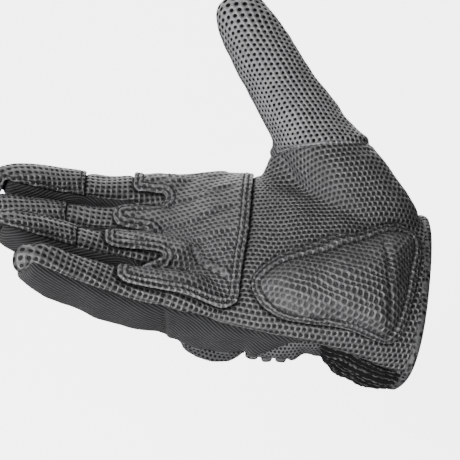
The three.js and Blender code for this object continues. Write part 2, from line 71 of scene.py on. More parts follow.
TRUNK = table(
    "x y z half palm back pitch yaw roll",
    (-21.2, 3, 0, 38, 7, 6, 0, 0, 0),
    (-19.5, 2.5, -0.5, 43, 11, 9.5, 0, 0, 0),
    (-8, 1.5, -1, 46.5, 13, 12, 0, 0, 0),
    (6, 1, -1, 47.5, 14, 14.5, 0, 0, 0),
    (22, 0, -1, 47, 15, 15, 0, 0, 0),
    (38, -2, -2, 45, 17.5, 14, 4, 0, 2),
    (52, -5, -4, 42, 20.5, 17, 10, 4, 6),
    (62, -7, -7, 40.5, 22, 27, 14, 6, 8),
    (73, -7, -12, 41, 23.5, 38, 17, 7, 10),
    (82, -7.5, -16.5, 41, 23, 38, 17, 6, 12),
    (91, -7.5, -20.5, 40.5, 22, 31, 17, 4, 13),
)
FINGER_NAMES = ("index", "middle", "ring", "pinky")
FINGERS = table(
    "x y z splay bend1 bend2 bend3 length half thick",
    (2, 33, -1, 0.5, 4.5, 9, 7, 99, 10, 11),
    (0, 12, 0, 0.5, 5, 9, 3, 107, 10, 11),
    (4, -9.5, 2, 1.5, 12, 12, 8, 102, 9.8, 10.8),
    (8, -30.5, 1, 3, 15, 15, 11, 96, 10.6, 12),
)
FINGER_PROFILE = table(
    "share wide tall",
    (0.0, 0.9, 0.75),
    (0.25, 1.05, 1.05),
    (0.46, 0.99, 0.99),
    (0.62, 0.95, 0.93),
    (0.77, 0.91, 0.88),
    (0.91, 0.79, 0.72),
    (1.0, 0.34, 0.28),
)
JOINTS = table("share spread", (0.47, 0.1), (0.74, 0.08))
THUMB = table(
    "x y z half thick",
    (87, 3, -14, 15, 13),
    (75, 21, -1, 21, 19),
    (61, 40, 11, 20, 18),
    (48, 58, 21, 17, 16),
    (38, 72, 30, 15.3, 14),
    (30, 84, 38, 14.5, 13),
    (22, 96, 45, 13.8, 12.3),
    (15.5, 106.5, 51, 11.8, 10.5),
    (12.2, 111.5, 53.8, 8, 7),
    (11, 113.5, 54.8, 3.5, 3),
)
WEB = table(
    "x y z half thick",
    (36, 28, 2, 14, 8),
    (40, 42, 6, 14, 8),
    (42.5, 52, 12, 13, 8.5),
    (46, 60, 19, 9, 8),
)
TRUNK_SEAMS = table(
    "x thumb edge low",
    (-30, 18, 122, 226),
    (-17, 18, 124, 218),
    (-8, 18, 134, 214),
    (6, 18, 153, 206),
    (22, 14, 164, 198),
    (38, 6, 173, 178),
    (52, 0, 171, 171.5),
    (73, -4, 168, 168.5),
    (110, -6, 169, 169.5),
)
FINGER_SEAMS = table(
    "thumb edge low back thumb_root edge_root",
    (18, 136, 222, 322, 0, 26),
    (50, 126, 222, 322, 22, 26),
    (50, 126, 222, 322, 22, 26),
    (50, 133, 232, 322, 22, 12),
)
OVERLAY_OUTLINE = table(
    "x y radius",
    (23, 60, 1),
    (19.5, 3, 10),
    (16.5, -17, 6),
    (14.5, -35, 3),
    (8, -37.5, 3.5),
    (-4, -36.5, 4),
    (-14, -36, 3),
    (-36.5, -36, 5),
    (-36.5, -22.5, 5),
    (-19.5, -16, 1),
    (-17.6, -14.5, 1),
    (-19.5, -13, 1),
    (-43, -14, 5),
    (-43, -0.5, 5),
    (-24, 1.4, 1),
    (-22.3, 3, 1),
    (-24, 4.6, 1),
    (-40.5, 6.5, 4.5),
    (-40.5, 16.5, 4.5),
    (-24, 20, 2),
    (-18.5, 22.3, 2),
    (-17.3, 25, 1.3),
    (-18.5, 27.8, 1.3),
    (-32.5, 28.5, 3),
    (-32.5, 60, 1),
)
PAD_OUTLINE = table(
    "along round",
    (-35.5, 4),
    (-33, -7),
    (-24, -18),
    (-12, -26),
    (5, -40),
    (14, -51),
    (22, -56),
    (29, -54),
    (32, -43),
    (31, -26),
    (29.5, 0),
    (27, 17),
    (21, 25),
    (5, 26),
    (-10, 31),
    (-22, 31),
    (-31, 20),
)
GUARD_RISE = table(
    "x rise",
    (-11, 1.2),
    (-8, 4),
    (-3, 7.2),
    (4, 8.4),
    (11, 7.6),
    (15, 5.2),
    (17.4, 3.6),
)
THUMB_FOLD = ((3, 0.25), (-2.5, -0.7))
FOLD_WIDTH = 3
RIBS = table("start end height", (18, 23.5, 4), (24.5, 30, 5.2), (31, 36.5, 5), (37.5, 42, 3))

ORIGIN = np.array((TRUNK["x"][-1], TRUNK["y"][-1], TRUNK["z"][-1]))
SQUARENESS = 2.4
THUMB_SEAM_POINT = np.array((50, 50, 17.5))
THUMB_SEAM_NORMAL = np.array((-0.1, 0.8, 0.6)) / math.sqrt(1.01)
THUMB_SEAMS = (-14, 152)
WEB_SEAM_X = -17
WRIST_SEAM_X = 50
PANEL_TIP_X = 42
TIP_CAP = 5
PAD_CENTRE_X = 56
PAD_CENTRE_ANGLE = 118
PAD_MM_PER_DEGREE = 0.6
GUARD_DOMES = (220, 258, 281, 306)
GUARD_DOME_WIDTH = 15
GUARD_VALLEY = 0.55
GUARD_SPAN = (203, 326)
RIB_SPAN = (204, 338)
RIB_BED = 2.2
KNUCKLE_SWELL = 2.6
LITTLE_FINGER_SWELL = 1.3
INDEX_SWELL = 0.8
PATCH_START = (0.57, 0.575, 0.575)
GATHER_RIDGES = 14
FINE_RIDGES = 2.6 * GATHER_RIDGES
ELASTIC_PITCH = 3.1
GATHER_START_X = 53
GUSSET_RADIUS = 1.06
BACK_RADIUS = 1.12
PAD_RADIUS = 1.3
RADIUS_MM = 60
NOT_THERE = -60.0
HEM_STEEPNESS = 4

PANEL_THICKNESS = 1.3
LEAST_THICKNESS = 0.4
UNDERLAP = 1.0
HEM_ROWS = (1.9, 4.2)
PATCH_ROWS = (1.7,)
PAD_ROWS = (1.2, 3.6)
SHORTEST_CHAIN = 12
STITCH_PITCH = 2.5
STITCH_LENGTH = 1.6
STITCH_WIDTH = 0.7
STITCH_SINK = 0.22
FAR_BESIDE = 9.0
CUT_SNAP = 0.22
# Vertex layers that the shaders read to place painted shade, painted highlights and painted glints.
KEPT_LAYERS = ("edge", "beside", "ridge")

SEWN_ON = ("palm_overlay", "heel_pad", "index_tip_patch", "middle_tip_patch", "ring_tip_patch")
PANELS = (
    "palm_leather", "thumb_front", "thumb_back", "side_panel", "index_side_wall", "middle_side_wall",
    "ring_side_wall", "pinky_side_wall", "back_panel", "wrist_gather", "thumb_gusset",
)


# Lofted lobes of the glove

def superpower(value, power):
    """A power of the size of a value that keeps its sign."""
    return np.sign(value) * np.abs(value) ** power


def unit(rows):
    return rows / np.linalg.norm(rows, axis=-1, keepdims=True)


def smooth_step(low, high, x):
    t = np.clip((np.asarray(x, float) - low) / (high - low), 0, 1)
    return t * t * (3 - 2 * t)


def smooth_rows(x, rows, at):
    """A smooth curve through rows at x that never swings past them."""
    gap = np.diff(x)[:, None]
    rise = np.diff(rows, axis=0) / gap
    slope = np.empty_like(rows)
    slope[0], slope[-1] = rise[0], rise[-1]
    before, after = 2 * gap[1:] + gap[:-1], gap[1:] + 2 * gap[:-1]
    same = rise[:-1] * rise[1:] > 0
    safe = np.where(same, rise[:-1], 1), np.where(same, rise[1:], 1)
    slope[1:-1] = np.where(same, (before + after) / (before / safe[0] + after / safe[1]), 0)
    i = np.clip(np.searchsorted(x, at) - 1, 0, len(x) - 2)
    h = gap[i]
    t = (at - x[i])[:, None] / h
    t2, t3 = t * t, t * t * t
    return (
        (2 * t3 - 3 * t2 + 1) * rows[i]
        + (t3 - 2 * t2 + t) * h * slope[i]
        + (3 * t2 - 2 * t3) * rows[i + 1]
        + (t3 - t2) * h * slope[i + 1]
    )


def turned(yaw, pitch, roll):
    turn = (
        Matrix.Rotation(math.radians(yaw), 3, "Z")
        @ Matrix.Rotation(math.radians(pitch), 3, "Y")
        @ Matrix.Rotation(math.radians(roll), 3, "X")
    )
    return np.array(turn)


class Lobe:
    """A tapering tube along a path, with its own directions and half sizes at each station."""

    ARC_STEPS = 120

    def __init__(self, centre, across, out, sizes, stations):
        run = np.concatenate(([0], np.cumsum(np.linalg.norm(np.diff(centre, axis=0), axis=1))))
        at = np.linspace(0, run[-1], stations)
        self.run = at
        self.centre = smooth_rows(run, centre, at)
        self.across = unit(smooth_rows(run, across, at))
        self.out = unit(smooth_rows(run, out, at))
        self.sizes = np.maximum(smooth_rows(run, sizes, at), 0.2)
        ahead = np.gradient(self.centre, axis=0)
        normal = np.cross(self.across, self.out)
        self.ahead = unit(normal) * np.sign((normal * ahead).sum(1))[:, None]
        self.arcs = self._arcs()

    def _arcs(self):
        """Length round each section from angle 0 to each step of a full turn."""
        angles = np.linspace(0, 360, self.ARC_STEPS + 1)
        ring = np.stack([self.point(np.arange(len(self.run)), np.full(len(self.run), a)) for a in angles], 1)
        steps = np.linalg.norm(np.diff(ring, axis=1), axis=2)
        return np.concatenate((np.zeros((len(self.run), 1)), np.cumsum(steps, axis=1)), 1)

    def row(self, values, station):
        i = np.clip(np.floor(station).astype(int), 0, len(self.run) - 2)
        t = station - i
        t = t if values.ndim == 1 else t[:, None]
        return values[i] * (1 - t) + values[i + 1] * t

    def point(self, station, angle, scale=1.0):
        station = np.asarray(station, float)
        half, palm, back = self.row(self.sizes, station).T
        a = np.radians(angle)
        wide = superpower(np.cos(a), 2 / SQUARENESS) * half * scale
        tall = superpower(np.sin(a), 2 / SQUARENESS) * np.where(np.sin(a) > 0, palm, back) * scale
        return (
            self.row(self.centre, station)
            + self.row(self.across, station) * wide[:, None]
            + self.row(self.out, station) * tall[:, None]
        )

    def locate(self, points):
        """The station, the angle and the radius, as a share of the section's, of each point."""
        ahead = points @ self.ahead.T - (self.centre * self.ahead).sum(1)
        far = (points ** 2).sum(1)[:, None] - 2 * points @ self.centre.T + (self.centre ** 2).sum(1)
        between = (ahead[:, :-1] >= 0) & (ahead[:, 1:] < 0)
        cost = np.where(between, far[:, :-1], np.inf)
        i = np.argmin(cost, axis=1)
        n = np.arange(len(points))
        inside = np.isfinite(cost[n, i])
        step = ahead[n, i] / np.where(inside, ahead[n, i] - ahead[n, i + 1], 1)
        last = len(self.run) - 1.0
        station = np.where(inside, i + step, np.where(ahead[:, 0] < 0, 0.0, last))
        away = points - self.row(self.centre, station)
        half, palm, back = self.row(self.sizes, station).T
        wide = (away * self.row(self.across, station)).sum(1) / half
        tall = (away * self.row(self.out, station)).sum(1)
        tall = tall / np.where(tall > 0, palm, back)
        power = SQUARENESS / 2
        angle = np.degrees(np.arctan2(superpower(tall, power), superpower(wide, power)))
        radius = (np.abs(wide) ** SQUARENESS + np.abs(tall) ** SQUARENESS) ** (1 / SQUARENESS)
        return station, angle % 360, radius + np.where(inside, 0, 1)

    def arc(self, station, angle):
        i = np.clip(np.rint(station).astype(int), 0, len(self.run) - 1)
        step = (np.asarray(angle, float) % 360) / 360 * self.ARC_STEPS
        j = np.minimum(np.floor(step).astype(int), self.ARC_STEPS - 1)
        return self.arcs[i, j] + (self.arcs[i, j + 1] - self.arcs[i, j]) * (step - j)

    def margin(self, station, angle, start, end):
        """How far inside the sector from start to end a point lies, in millimetres along the skin."""
        i = np.clip(np.rint(station).astype(int), 0, len(self.run) - 1)
        total = self.arcs[i, -1]
        middle = self.arc(station, (np.asarray(start) + np.asarray(end)) / 2 + 0 * station)
        here, first, last = (
            (self.arc(station, at + 0 * station) - middle + total / 2) % total - total / 2
            for at in (angle, start, end)
        )
        return np.minimum(here - first, last - here)


def trunk_lobe(beyond=0.0):
    """The palm and wrist. It runs on past the wrist opening by a distance."""
    turns = [turned(-TRUNK["yaw"][i], TRUNK["pitch"][i], TRUNK["roll"][i]) for i in range(len(TRUNK["x"]))]
    centre = np.stack((TRUNK["x"], TRUNK["y"], TRUNK["z"]), 1)
    across = np.array([turn[:, 1] for turn in turns])
    out = np.array([turn[:, 2] for turn in turns])
    sizes = np.stack((TRUNK["half"], TRUNK["palm"], TRUNK["back"]), 1)
    if beyond:
        centre = np.vstack((centre, centre[-1] + turns[-1][:, 0] * beyond))
        across, out, sizes = (np.vstack((rows, rows[-1])) for rows in (across, out, sizes))
    return Lobe(centre, across, out, sizes, 76)


def finger_lobe(f, stations=44):
    steps = 240
    at = np.array((FINGERS["x"][f], FINGERS["y"][f], FINGERS["z"][f]))
    shares = np.linspace(0, 1, steps + 1)
    bend = FINGERS["bend1"][f] + sum(
        FINGERS[name][f] * smooth_step(share - spread, share + spread, shares)
        for name, share, spread in zip(("bend2", "bend3"), JOINTS["share"], JOINTS["spread"])
    )
    centre, across, out = [], [], []
    for angle in bend:
        turn = turned(FINGERS["splay"][f], angle, 0)
        centre.append(at.copy())
        across.append(turn[:, 1])
        out.append(turn[:, 2])
        at -= turn[:, 0] * FINGERS["length"][f] / steps
    profile = np.stack((FINGER_PROFILE["wide"], FINGER_PROFILE["tall"], FINGER_PROFILE["tall"]), 1)
    scale = np.array((FINGERS["half"][f], FINGERS["thick"][f], FINGERS["thick"][f]))
    pick = np.linspace(0, steps, 25).astype(int)
    sizes = smooth_rows(FINGER_PROFILE["share"], profile * scale, shares[pick])
    return Lobe(np.array(centre)[pick], np.array(across)[pick], np.array(out)[pick], sizes, stations)


def path_lobe(rows, stations):
    centre = np.stack((rows["x"], rows["y"], rows["z"]), 1)
    along = np.empty_like(centre)
    along[1:-1] = centre[2:] - centre[:-2]
    along[0], along[-1] = centre[1] - centre[0], centre[-1] - centre[-2]
    along = unit(along)
    up = np.array((0.0, 0.0, 1.0))
    out = unit(up - along * along[:, 2:])
    across = np.cross(out, along)
    return Lobe(centre, across, out, np.stack((rows["half"], rows["thick"], rows["thick"]), 1), stations)


TRUNK_LOBE = trunk_lobe()
FINGER_LOBES = [finger_lobe(f) for f in range(4)]
THUMB_LOBE = path_lobe(THUMB, 60)
WEB_LOBE = path_lobe(WEB, 16)


def add_lobe(bm, lobe, sides):
    """A closed tube over a lobe: a grid whose two long edges meet and whose ends shrink to a point."""
    rings = len(lobe.run)
    made = bmesh.ops.create_grid(bm, x_segments=rings + 1, y_segments=sides, size=1)["verts"]
    flat = np.array([v.co[:2] for v in made])
    ring = np.rint((flat[:, 0] + 1) / 2 * (rings + 1)) - 1
    end = (ring < 0) | (ring >= rings)
    place = lobe.point(np.clip(ring, 0, rings - 1), (flat[:, 1] + 1) * 180, np.where(end, 0.0, 1.0))
    set_places(made, place)
    bmesh.ops.remove_doubles(bm, verts=made, dist=1e-4)


# Distances to the seams and outlines

def rounded_outline(corners, steps=5):
    """An outline of (x, y, radius) corners, each turned by a short curve, as an array of points."""
    corners = np.array(corners, float)
    made = []
    for i, (x, y, radius) in enumerate(corners):
        here = np.array((x, y))
        ends = [here + unit(corners[j, :2] - here) * radius for j in (i - 1, (i + 1) % len(corners))]
        for t in np.linspace(0, 1, steps):
            made.append((1 - t) ** 2 * ends[0] + 2 * t * (1 - t) * here + t * t * ends[1])
    return np.array(made)


def inside_by(outline, flat):
    """How far inside a closed outline each point lies, and less than nothing outside it."""
    best = np.full(len(flat), np.inf)
    inside = np.zeros(len(flat), bool)
    for a, b in zip(outline, np.roll(outline, -1, axis=0)):
        edge, away = b - a, flat - a
        t = np.clip(away @ edge / max(edge @ edge, 1e-12), 0, 1)
        best = np.minimum(best, np.linalg.norm(away - t[:, None] * edge, axis=1))
        if a[1] != b[1]:
            cross = (a[1] > flat[:, 1]) != (b[1] > flat[:, 1])
            inside ^= cross & (flat[:, 0] < (b[0] - a[0]) * (flat[:, 1] - a[1]) / (b[1] - a[1]) + a[0])
    return np.where(inside, best, -best)


def closed_curve(points, steps=6):
    """A smooth closed curve through points."""
    made = []
    n = len(points)
    for i in range(n):
        p0, p1, p2, p3 = (points[(i + k) % n] for k in (-1, 0, 1, 2))
        for t in np.arange(steps) / steps:
            made.append(
                0.5 * (2 * p1 + (p2 - p0) * t + (2 * p0 - 5 * p1 + 4 * p2 - p3) * t ** 2
                       + (3 * p1 - p0 - 3 * p2 + p3) * t ** 3)
            )
    return np.array(made)


def overlay_field(points):
    outline = rounded_outline(list(zip(*OVERLAY_OUTLINE.values())))
    return np.minimum(inside_by(outline, points[:, :2]), (points[:, 2] - 1) * HEM_STEEPNESS)


def seam_fields(points):
    """For each vertex of the skin, how far inside each panel and each overlay it lies."""
    n = len(points)
    x = points[:, 0]
    web = x - WEB_SEAM_X
    zone = web >= 0
    station, angle, radius = TRUNK_LOBE.locate(points)
    at_x = TRUNK_LOBE.row(TRUNK_LOBE.centre, station)[:, 0]
    seams = {k: np.interp(at_x, TRUNK_SEAMS["x"], TRUNK_SEAMS[k]) for k in ("thumb", "edge", "low")}
    palm = TRUNK_LOBE.margin(station, angle, seams["thumb"], seams["edge"])
    side = np.minimum(TRUNK_LOBE.margin(station, angle, seams["edge"], seams["low"]), PANEL_TIP_X - x)
    rest = -np.maximum(palm, side)
    thumb = (points - THUMB_SEAM_POINT) @ THUMB_SEAM_NORMAL
    t_station, t_angle, _ = THUMB_LOBE.locate(points)
    t_end = THUMB_SEAMS[1] + 40 * smooth_step(74, 50, points[:, 1])
    t_front = THUMB_LOBE.margin(t_station, t_angle, THUMB_SEAMS[0], t_end)
    t_cap = (points - THUMB_LOBE.centre[-1]) @ THUMB_LOBE.ahead[-1] + TIP_CAP
    t_front = np.maximum(t_front, t_cap)
    gusset = (radius - GUSSET_RADIUS) * 40
    trunk = {
        "palm_leather": np.minimum(palm, -thumb),
        "side_panel": np.minimum(side, -thumb),
        "back_panel": np.minimum.reduce((rest, WRIST_SEAM_X - x, -thumb)),
        "wrist_gather": np.minimum.reduce((rest, x - WRIST_SEAM_X, -gusset, -thumb)),
        "thumb_gusset": np.minimum.reduce((rest, x - WRIST_SEAM_X, gusset, -thumb)),
        "thumb_front": np.minimum(thumb, t_front),
        "thumb_back": np.minimum(thumb, -t_front),
    }
    spots = [lobe.locate(points) for lobe in FINGER_LOBES]
    owner = np.argmin([spot[2] for spot in spots], axis=0)
    digits = {name: np.full(n, NOT_THERE) for name in PANELS}
    patches = {f"{FINGER_NAMES[f]}_tip_patch": np.full(n, NOT_THERE) for f in range(3)}
    for f, (name, lobe, spot) in enumerate(zip(FINGER_NAMES, FINGER_LOBES, spots)):
        mine = owner == f
        s, a = spot[0][mine], spot[1][mine]
        seam = {k: FINGER_SEAMS[k][f] for k in FINGER_SEAMS}
        cap = (points[mine] - lobe.centre[-1]) @ lobe.ahead[-1] + TIP_CAP
        root = smooth_step(-40, -17, x[mine])
        seam["thumb"] = seam["thumb"] - seam["thumb_root"] * root
        seam["edge"] = seam["edge"] + seam["edge_root"] * root
        front = np.maximum(lobe.margin(s, a, seam["thumb"], seam["edge"]), cap)
        digits["palm_leather"][mine] = front
        digits["back_panel"][mine] = np.minimum(lobe.margin(s, a, seam["low"], seam["back"]), -cap)
        near = np.minimum(lobe.margin(s, a, seam["back"] - 360, seam["thumb"]), -cap)
        far = np.minimum(lobe.margin(s, a, seam["edge"], seam["low"]), -cap)
        digits[f"{name}_side_wall"][mine] = near
        far_name = f"{FINGER_NAMES[f + 1]}_side_wall" if f < 3 else "side_panel"
        digits[far_name][mine] = np.maximum(digits[far_name][mine], far)
        if f < 3:
            start = FINGERS["x"][f] - FINGERS["length"][f] * PATCH_START[f]
            inner = lobe.margin(s, a, seam["thumb"] + 2, seam["edge"] - 2)
            patches[f"{name}_tip_patch"][mine] = np.minimum(np.maximum(inner, cap - 1), start - x[mine])
    fields = {}
    for name in PANELS:
        wall = name.endswith("_side_wall")
        on_trunk = -web if wall else np.minimum(trunk[name], web)
        if wall:
            on_finger = np.minimum(digits[name], -web)
        elif name in ("palm_leather", "back_panel"):
            on_finger = np.maximum(digits[name], np.minimum(web, -0.01))
        else:
            on_finger = digits[name]
        fields[name] = np.where(zone, on_trunk, on_finger)
    values = np.stack([fields[name] for name in PANELS])
    order = np.sort(values, axis=0)
    made = {}
    for i, name in enumerate(PANELS):
        rival = np.where(values[i] == order[-1], order[-2], order[-1])
        made[name] = (values[i] - rival) / 2
    thumb_side = np.where(zone, (-thumb - 6) * HEM_STEEPNESS, -NOT_THERE)
    made["palm_overlay"] = np.minimum(overlay_field(points), thumb_side)
    pad = np.stack((at_x - PAD_CENTRE_X, (angle - PAD_CENTRE_ANGLE) * PAD_MM_PER_DEGREE), 1)
    pad_line = closed_curve(np.stack((PAD_OUTLINE["along"], PAD_OUTLINE["round"] * PAD_MM_PER_DEGREE), 1))
    made["heel_pad"] = np.minimum(inside_by(pad_line, pad), (PAD_RADIUS - radius) * RADIUS_MM)
    on_back = (BACK_RADIUS - radius) * RADIUS_MM
    strips = {"knuckle_guard": (GUARD_RISE["x"][0], GUARD_RISE["x"][-1], GUARD_SPAN)}
    for i, (start, end) in enumerate(zip(RIBS["start"], RIBS["end"])):
        strips[f"flex_rib_{i + 1}"] = (start, end, RIB_SPAN)
    for name, (start, end, span) in strips.items():
        across = TRUNK_LOBE.margin(station, angle, *span)
        made[name] = np.minimum.reduce((x - start, end - x, on_back, across))
    made.update(patches)
    made.update(angle=angle, low_seam=seams["low"], thumb_seam=seams["thumb"], thumb_plane=thumb)
    return made


# The glove's skin

def setting(name):
    """A length among the settings, in the tables' millimetres."""
    return round(getattr(bpy.context.scene.glove_sizes, name) / MM, 4)


def read_points(bm):
    return np.array([v.co for v in bm.verts])


def mesh_from(bm, name):
    mesh = bpy.data.meshes.new(name)
    bm.to_mesh(mesh)
    bm.free()
    return mesh


def add_object(name, data):
    made = bpy.data.objects.new(name, data)
    bpy.context.collection.objects.link(made)
    return made


def set_places(verts, places):
    for v, place in zip(verts, places):
        v.co = place


def mark(bm, name, values):
    """Keeps a number on every vertex."""
    layer = bm.verts.layers.float.new(name)
    for v, value in zip(bm.verts, values):
        v[layer] = value


def smooth(bm, verts, times):
    for _ in range(times):
        bmesh.ops.smooth_vert(bm, verts=verts, factor=0.5, use_axis_x=True, use_axis_y=True, use_axis_z=True)


def ripple(points, length, seed):
    """A smooth uneven swell between about -1 and 1."""
    rng = np.random.default_rng(seed)
    waves = rng.normal(size=(7, 3))
    waves = waves / np.linalg.norm(waves, axis=1, keepdims=True) * 2 * np.pi / length
    waves *= rng.uniform(0.6, 1.5, (7, 1))
    return np.sin(points @ waves.T + rng.uniform(0, 2 * np.pi, 7)).sum(1) / 4


def push(bm, height):
    """Moves each vertex out along its normal by a height in millimetres."""
    bm.normal_update()
    for v, h in zip(bm.verts, height):
        v.co += v.normal * float(h)


def band(x, low, high, soft):
    """One between low and high, and nothing beyond them, with a soft change."""
    return smooth_step(low - soft, low + soft, x) * (1 - smooth_step(high - soft, high + soft, x))


def swells(points, fields):
    """Where the glove stands fuller than its plain tubes."""
    x, y = points[:, 0], points[:, 1]
    back = band(fields["angle"], 192, 332, 8) * (x > WEB_SEAM_X)
    side = smooth_step(-2, 4, fields["side_panel"])
    return (
        KNUCKLE_SWELL * back * band(x, -9, 43, 5)
        + RIB_BED * band(x, 18.5, 41.5, 2) * band(fields["angle"], 186, 334, 8)
        + LITTLE_FINGER_SWELL * side * band(x, -48, -20, 6)
        + INDEX_SWELL * band(x, -52, -31, 3) * smooth_step(36, 42, y)
    )


@lru_cache(maxsize=1)
def skin():
    """The whole outside of the glove as one even mesh, with each seam's distance on every vertex."""
    bm = bmesh.new()
    for lobe, sides in (
        (trunk_lobe(beyond=9), 72), *((lobe, 36) for lobe in FINGER_LOBES), (THUMB_LOBE, 44), (WEB_LOBE, 32)
    ):
        add_lobe(bm, lobe, sides)
    bmesh.ops.recalc_face_normals(bm, faces=bm.faces)
    lobes = add_object("lobes", mesh_from(bm, "lobes"))
    remesh = lobes.modifiers.new("even", "REMESH")
    remesh.mode = "VOXEL"
    remesh.voxel_size = setting("skin_step") * 1.0
    fused = bpy.data.meshes.new_from_object(lobes.evaluated_get(bpy.context.evaluated_depsgraph_get()))
    bpy.data.objects.remove(lobes)
    bm = bmesh.new()
    bm.from_mesh(fused)
    bpy.data.meshes.remove(fused)
    smooth(bm, bm.verts, 14)
    opening = TRUNK_LOBE.centre[-1]
    bmesh.ops.bisect_plane(
        bm, geom=bm.verts[:] + bm.edges[:] + bm.faces[:], dist=1e-4,
        plane_co=opening, plane_no=TRUNK_LOBE.ahead[-1], clear_outer=True,
    )
    bm.normal_update()
    points = read_points(bm)
    fields = seam_fields(points)
    for name, values in fields.items():
        mark(bm, name, values)
    push(bm, 0.35 * ripple(points, 26, 3) + 0.18 * ripple(points, 9, 4) + swells(points, fields))
    return bm


def cut(bm, name, level=0.0):
    """Cuts the mesh where a layer has a level, and lists the vertices on the line in the mesh's order."""
    layer = bm.verts.layers.float[name]
    layers = [bm.verts.layers.float[key] for key in bm.verts.layers.float.keys()]
    near = {}
    for e in bm.edges:
        a, b = e.verts
        fa, fb = a[layer] - level, b[layer] - level
        if fa * fb < 0:
            t = fa / (fa - fb)
            for v, other, share in ((a, b, t), (b, a, 1 - t)):
                if share < CUT_SNAP and share < near.get(v, (1,))[0]:
                    near[v] = (share, other.co.copy(), [other[k] for k in layers])
    for v, (share, co, values) in near.items():
        v.co = v.co.lerp(co, share)
        for k, value in zip(layers, values):
            v[k] += (value - v[k]) * share
        v[layer] = level
    for e in list(bm.edges):
        a, b = e.verts
        fa, fb = a[layer] - level, b[layer] - level
        if fa * fb < 0 and min(abs(fa), abs(fb)) > 1e-5:
            _, v = bmesh.utils.edge_split(e, a, fa / (fa - fb))
            v[layer] = level
    line = [v for v in bm.verts if abs(v[layer] - level) <= 1e-5]
    bmesh.ops.connect_verts(bm, verts=line)
    return line


def keep(bm, name):
    """Deletes what lies outside a layer's zero, and keeps the largest part of the rest."""
    layer = bm.verts.layers.float[name]
    gone = [f for f in bm.faces if sum(v[layer] for v in f.verts) / len(f.verts) < 0]
    bmesh.ops.delete(bm, geom=gone, context="FACES")
    seen, parts = set(), []
    for f in bm.faces:
        if f in seen:
            continue
        part, todo = [], [f]
        seen.add(f)
        while todo:
            one = todo.pop()
            part.append(one)
            for e in one.edges:
                for other in e.link_faces:
                    if other not in seen:
                        seen.add(other)
                        todo.append(other)
        parts.append(part)
    parts.sort(key=len)
    bmesh.ops.delete(bm, geom=[f for part in parts[:-1] for f in part], context="FACES")


def values_of(bm, name):
    layer = bm.verts.layers.float[name]
    return np.array([v[layer] for v in bm.verts])


def finish_object(bm, name):
    """Turns a mesh in the tables' millimetres into an object in the frame."""
    place = Matrix.Diagonal((MM, MM, MM, 1)) @ Matrix.Translation(Vector(-ORIGIN))
    bmesh.ops.transform(bm, matrix=place, verts=bm.verts)
    for key in bm.verts.layers.float.keys():
        if key not in KEPT_LAYERS:
            bm.verts.layers.float.remove(bm.verts.layers.float[key])
    mesh = mesh_from(bm, name)
    mesh.shade_smooth()
    return add_object(name, mesh)


def read_rows(items, attribute, width, kind=float):
    """One attribute of every item of a mesh, as rows of an array."""
    values = np.empty(len(items) * width, kind)
    items.foreach_get(attribute, values)
    return values.reshape(-1, width)


def flatten(bm):
    """Gives the sheet a map in millimetres, as a flat cut of it would lie."""
    mesh = bpy.data.meshes.new("flat")
    bm.to_mesh(mesh)
    mesh.uv_layers.new(name="cut")
    sheet = add_object("flat", mesh)
    bpy.ops.object.select_all(action="DESELECT")
    bpy.context.view_layer.objects.active = sheet
    sheet.select_set(True)
    bpy.ops.object.mode_set(mode="EDIT")
    bpy.ops.mesh.select_all(action="SELECT")
    bpy.ops.uv.unwrap(method="ANGLE_BASED", margin=0.0)
    bpy.ops.object.mode_set(mode="OBJECT")
    uv = read_rows(mesh.uv_layers["cut"].data, "uv", 2)
    co = read_rows(mesh.vertices, "co", 3)[read_rows(mesh.loops, "vertex_index", 1, int)[:, 0]]
    first = read_rows(mesh.polygons, "loop_start", 1, int)[:, 0]
    uv_sides, co_sides = (
        np.vstack((rows[first + 1] - rows[first], rows[first + 2] - rows[first])) for rows in (uv, co)
    )
    scale = math.sqrt((co_sides ** 2).sum() / (uv_sides ** 2).sum())
    flat, plan, laid = (rows[:, 0] + 1j * rows[:, 1] for rows in (uv_sides, co_sides, uv * scale))
    straight, mirrored = (np.conj(flat) * plan).sum(), (flat * plan).sum()
    if abs(mirrored) > abs(straight):
        laid, straight = np.conj(laid), mirrored
    laid *= straight / abs(straight)
    centre = co.mean(0)
    laid += centre[0] + 1j * centre[1] - laid[np.argmin(((co - centre) ** 2).sum(1))]
    mesh.uv_layers["cut"].data.foreach_set("uv", np.stack((laid.real, laid.imag), 1).ravel())
    bm.clear()
    bm.from_mesh(mesh)
    bpy.data.objects.remove(sheet)
    bpy.data.meshes.remove(mesh)


def sheet_of(name):
    """A copy of the skin, cut down to one panel or overlay."""
    bm = skin().copy()
    layer = bm.verts.layers.float[name]
    far = [f for f in bm.faces if all(v[layer] < -1e-4 for v in f.verts)]
    bmesh.ops.delete(bm, geom=far, context="FACES")
    cut(bm, name)
    keep(bm, name)
    return bm


def wall(bm, depth):
    """Gives a sheet thickness: the sheet stays outside, and a copy of it lies a depth inside."""
    bmesh.ops.recalc_face_normals(bm, faces=bm.faces)
    bm.normal_update()
    made = bmesh.ops.extrude_face_region(bm, geom=bm.faces[:], use_keep_orig=True)["geom"]
    inner = [item for item in made if isinstance(item, bmesh.types.BMVert)]
    bm.normal_update()
    normals = [v.normal.copy() for v in inner]
    for v, normal in zip(inner, normals):
        v.co -= normal * depth
    bmesh.ops.recalc_face_normals(bm, faces=bm.faces)


# Shader trees

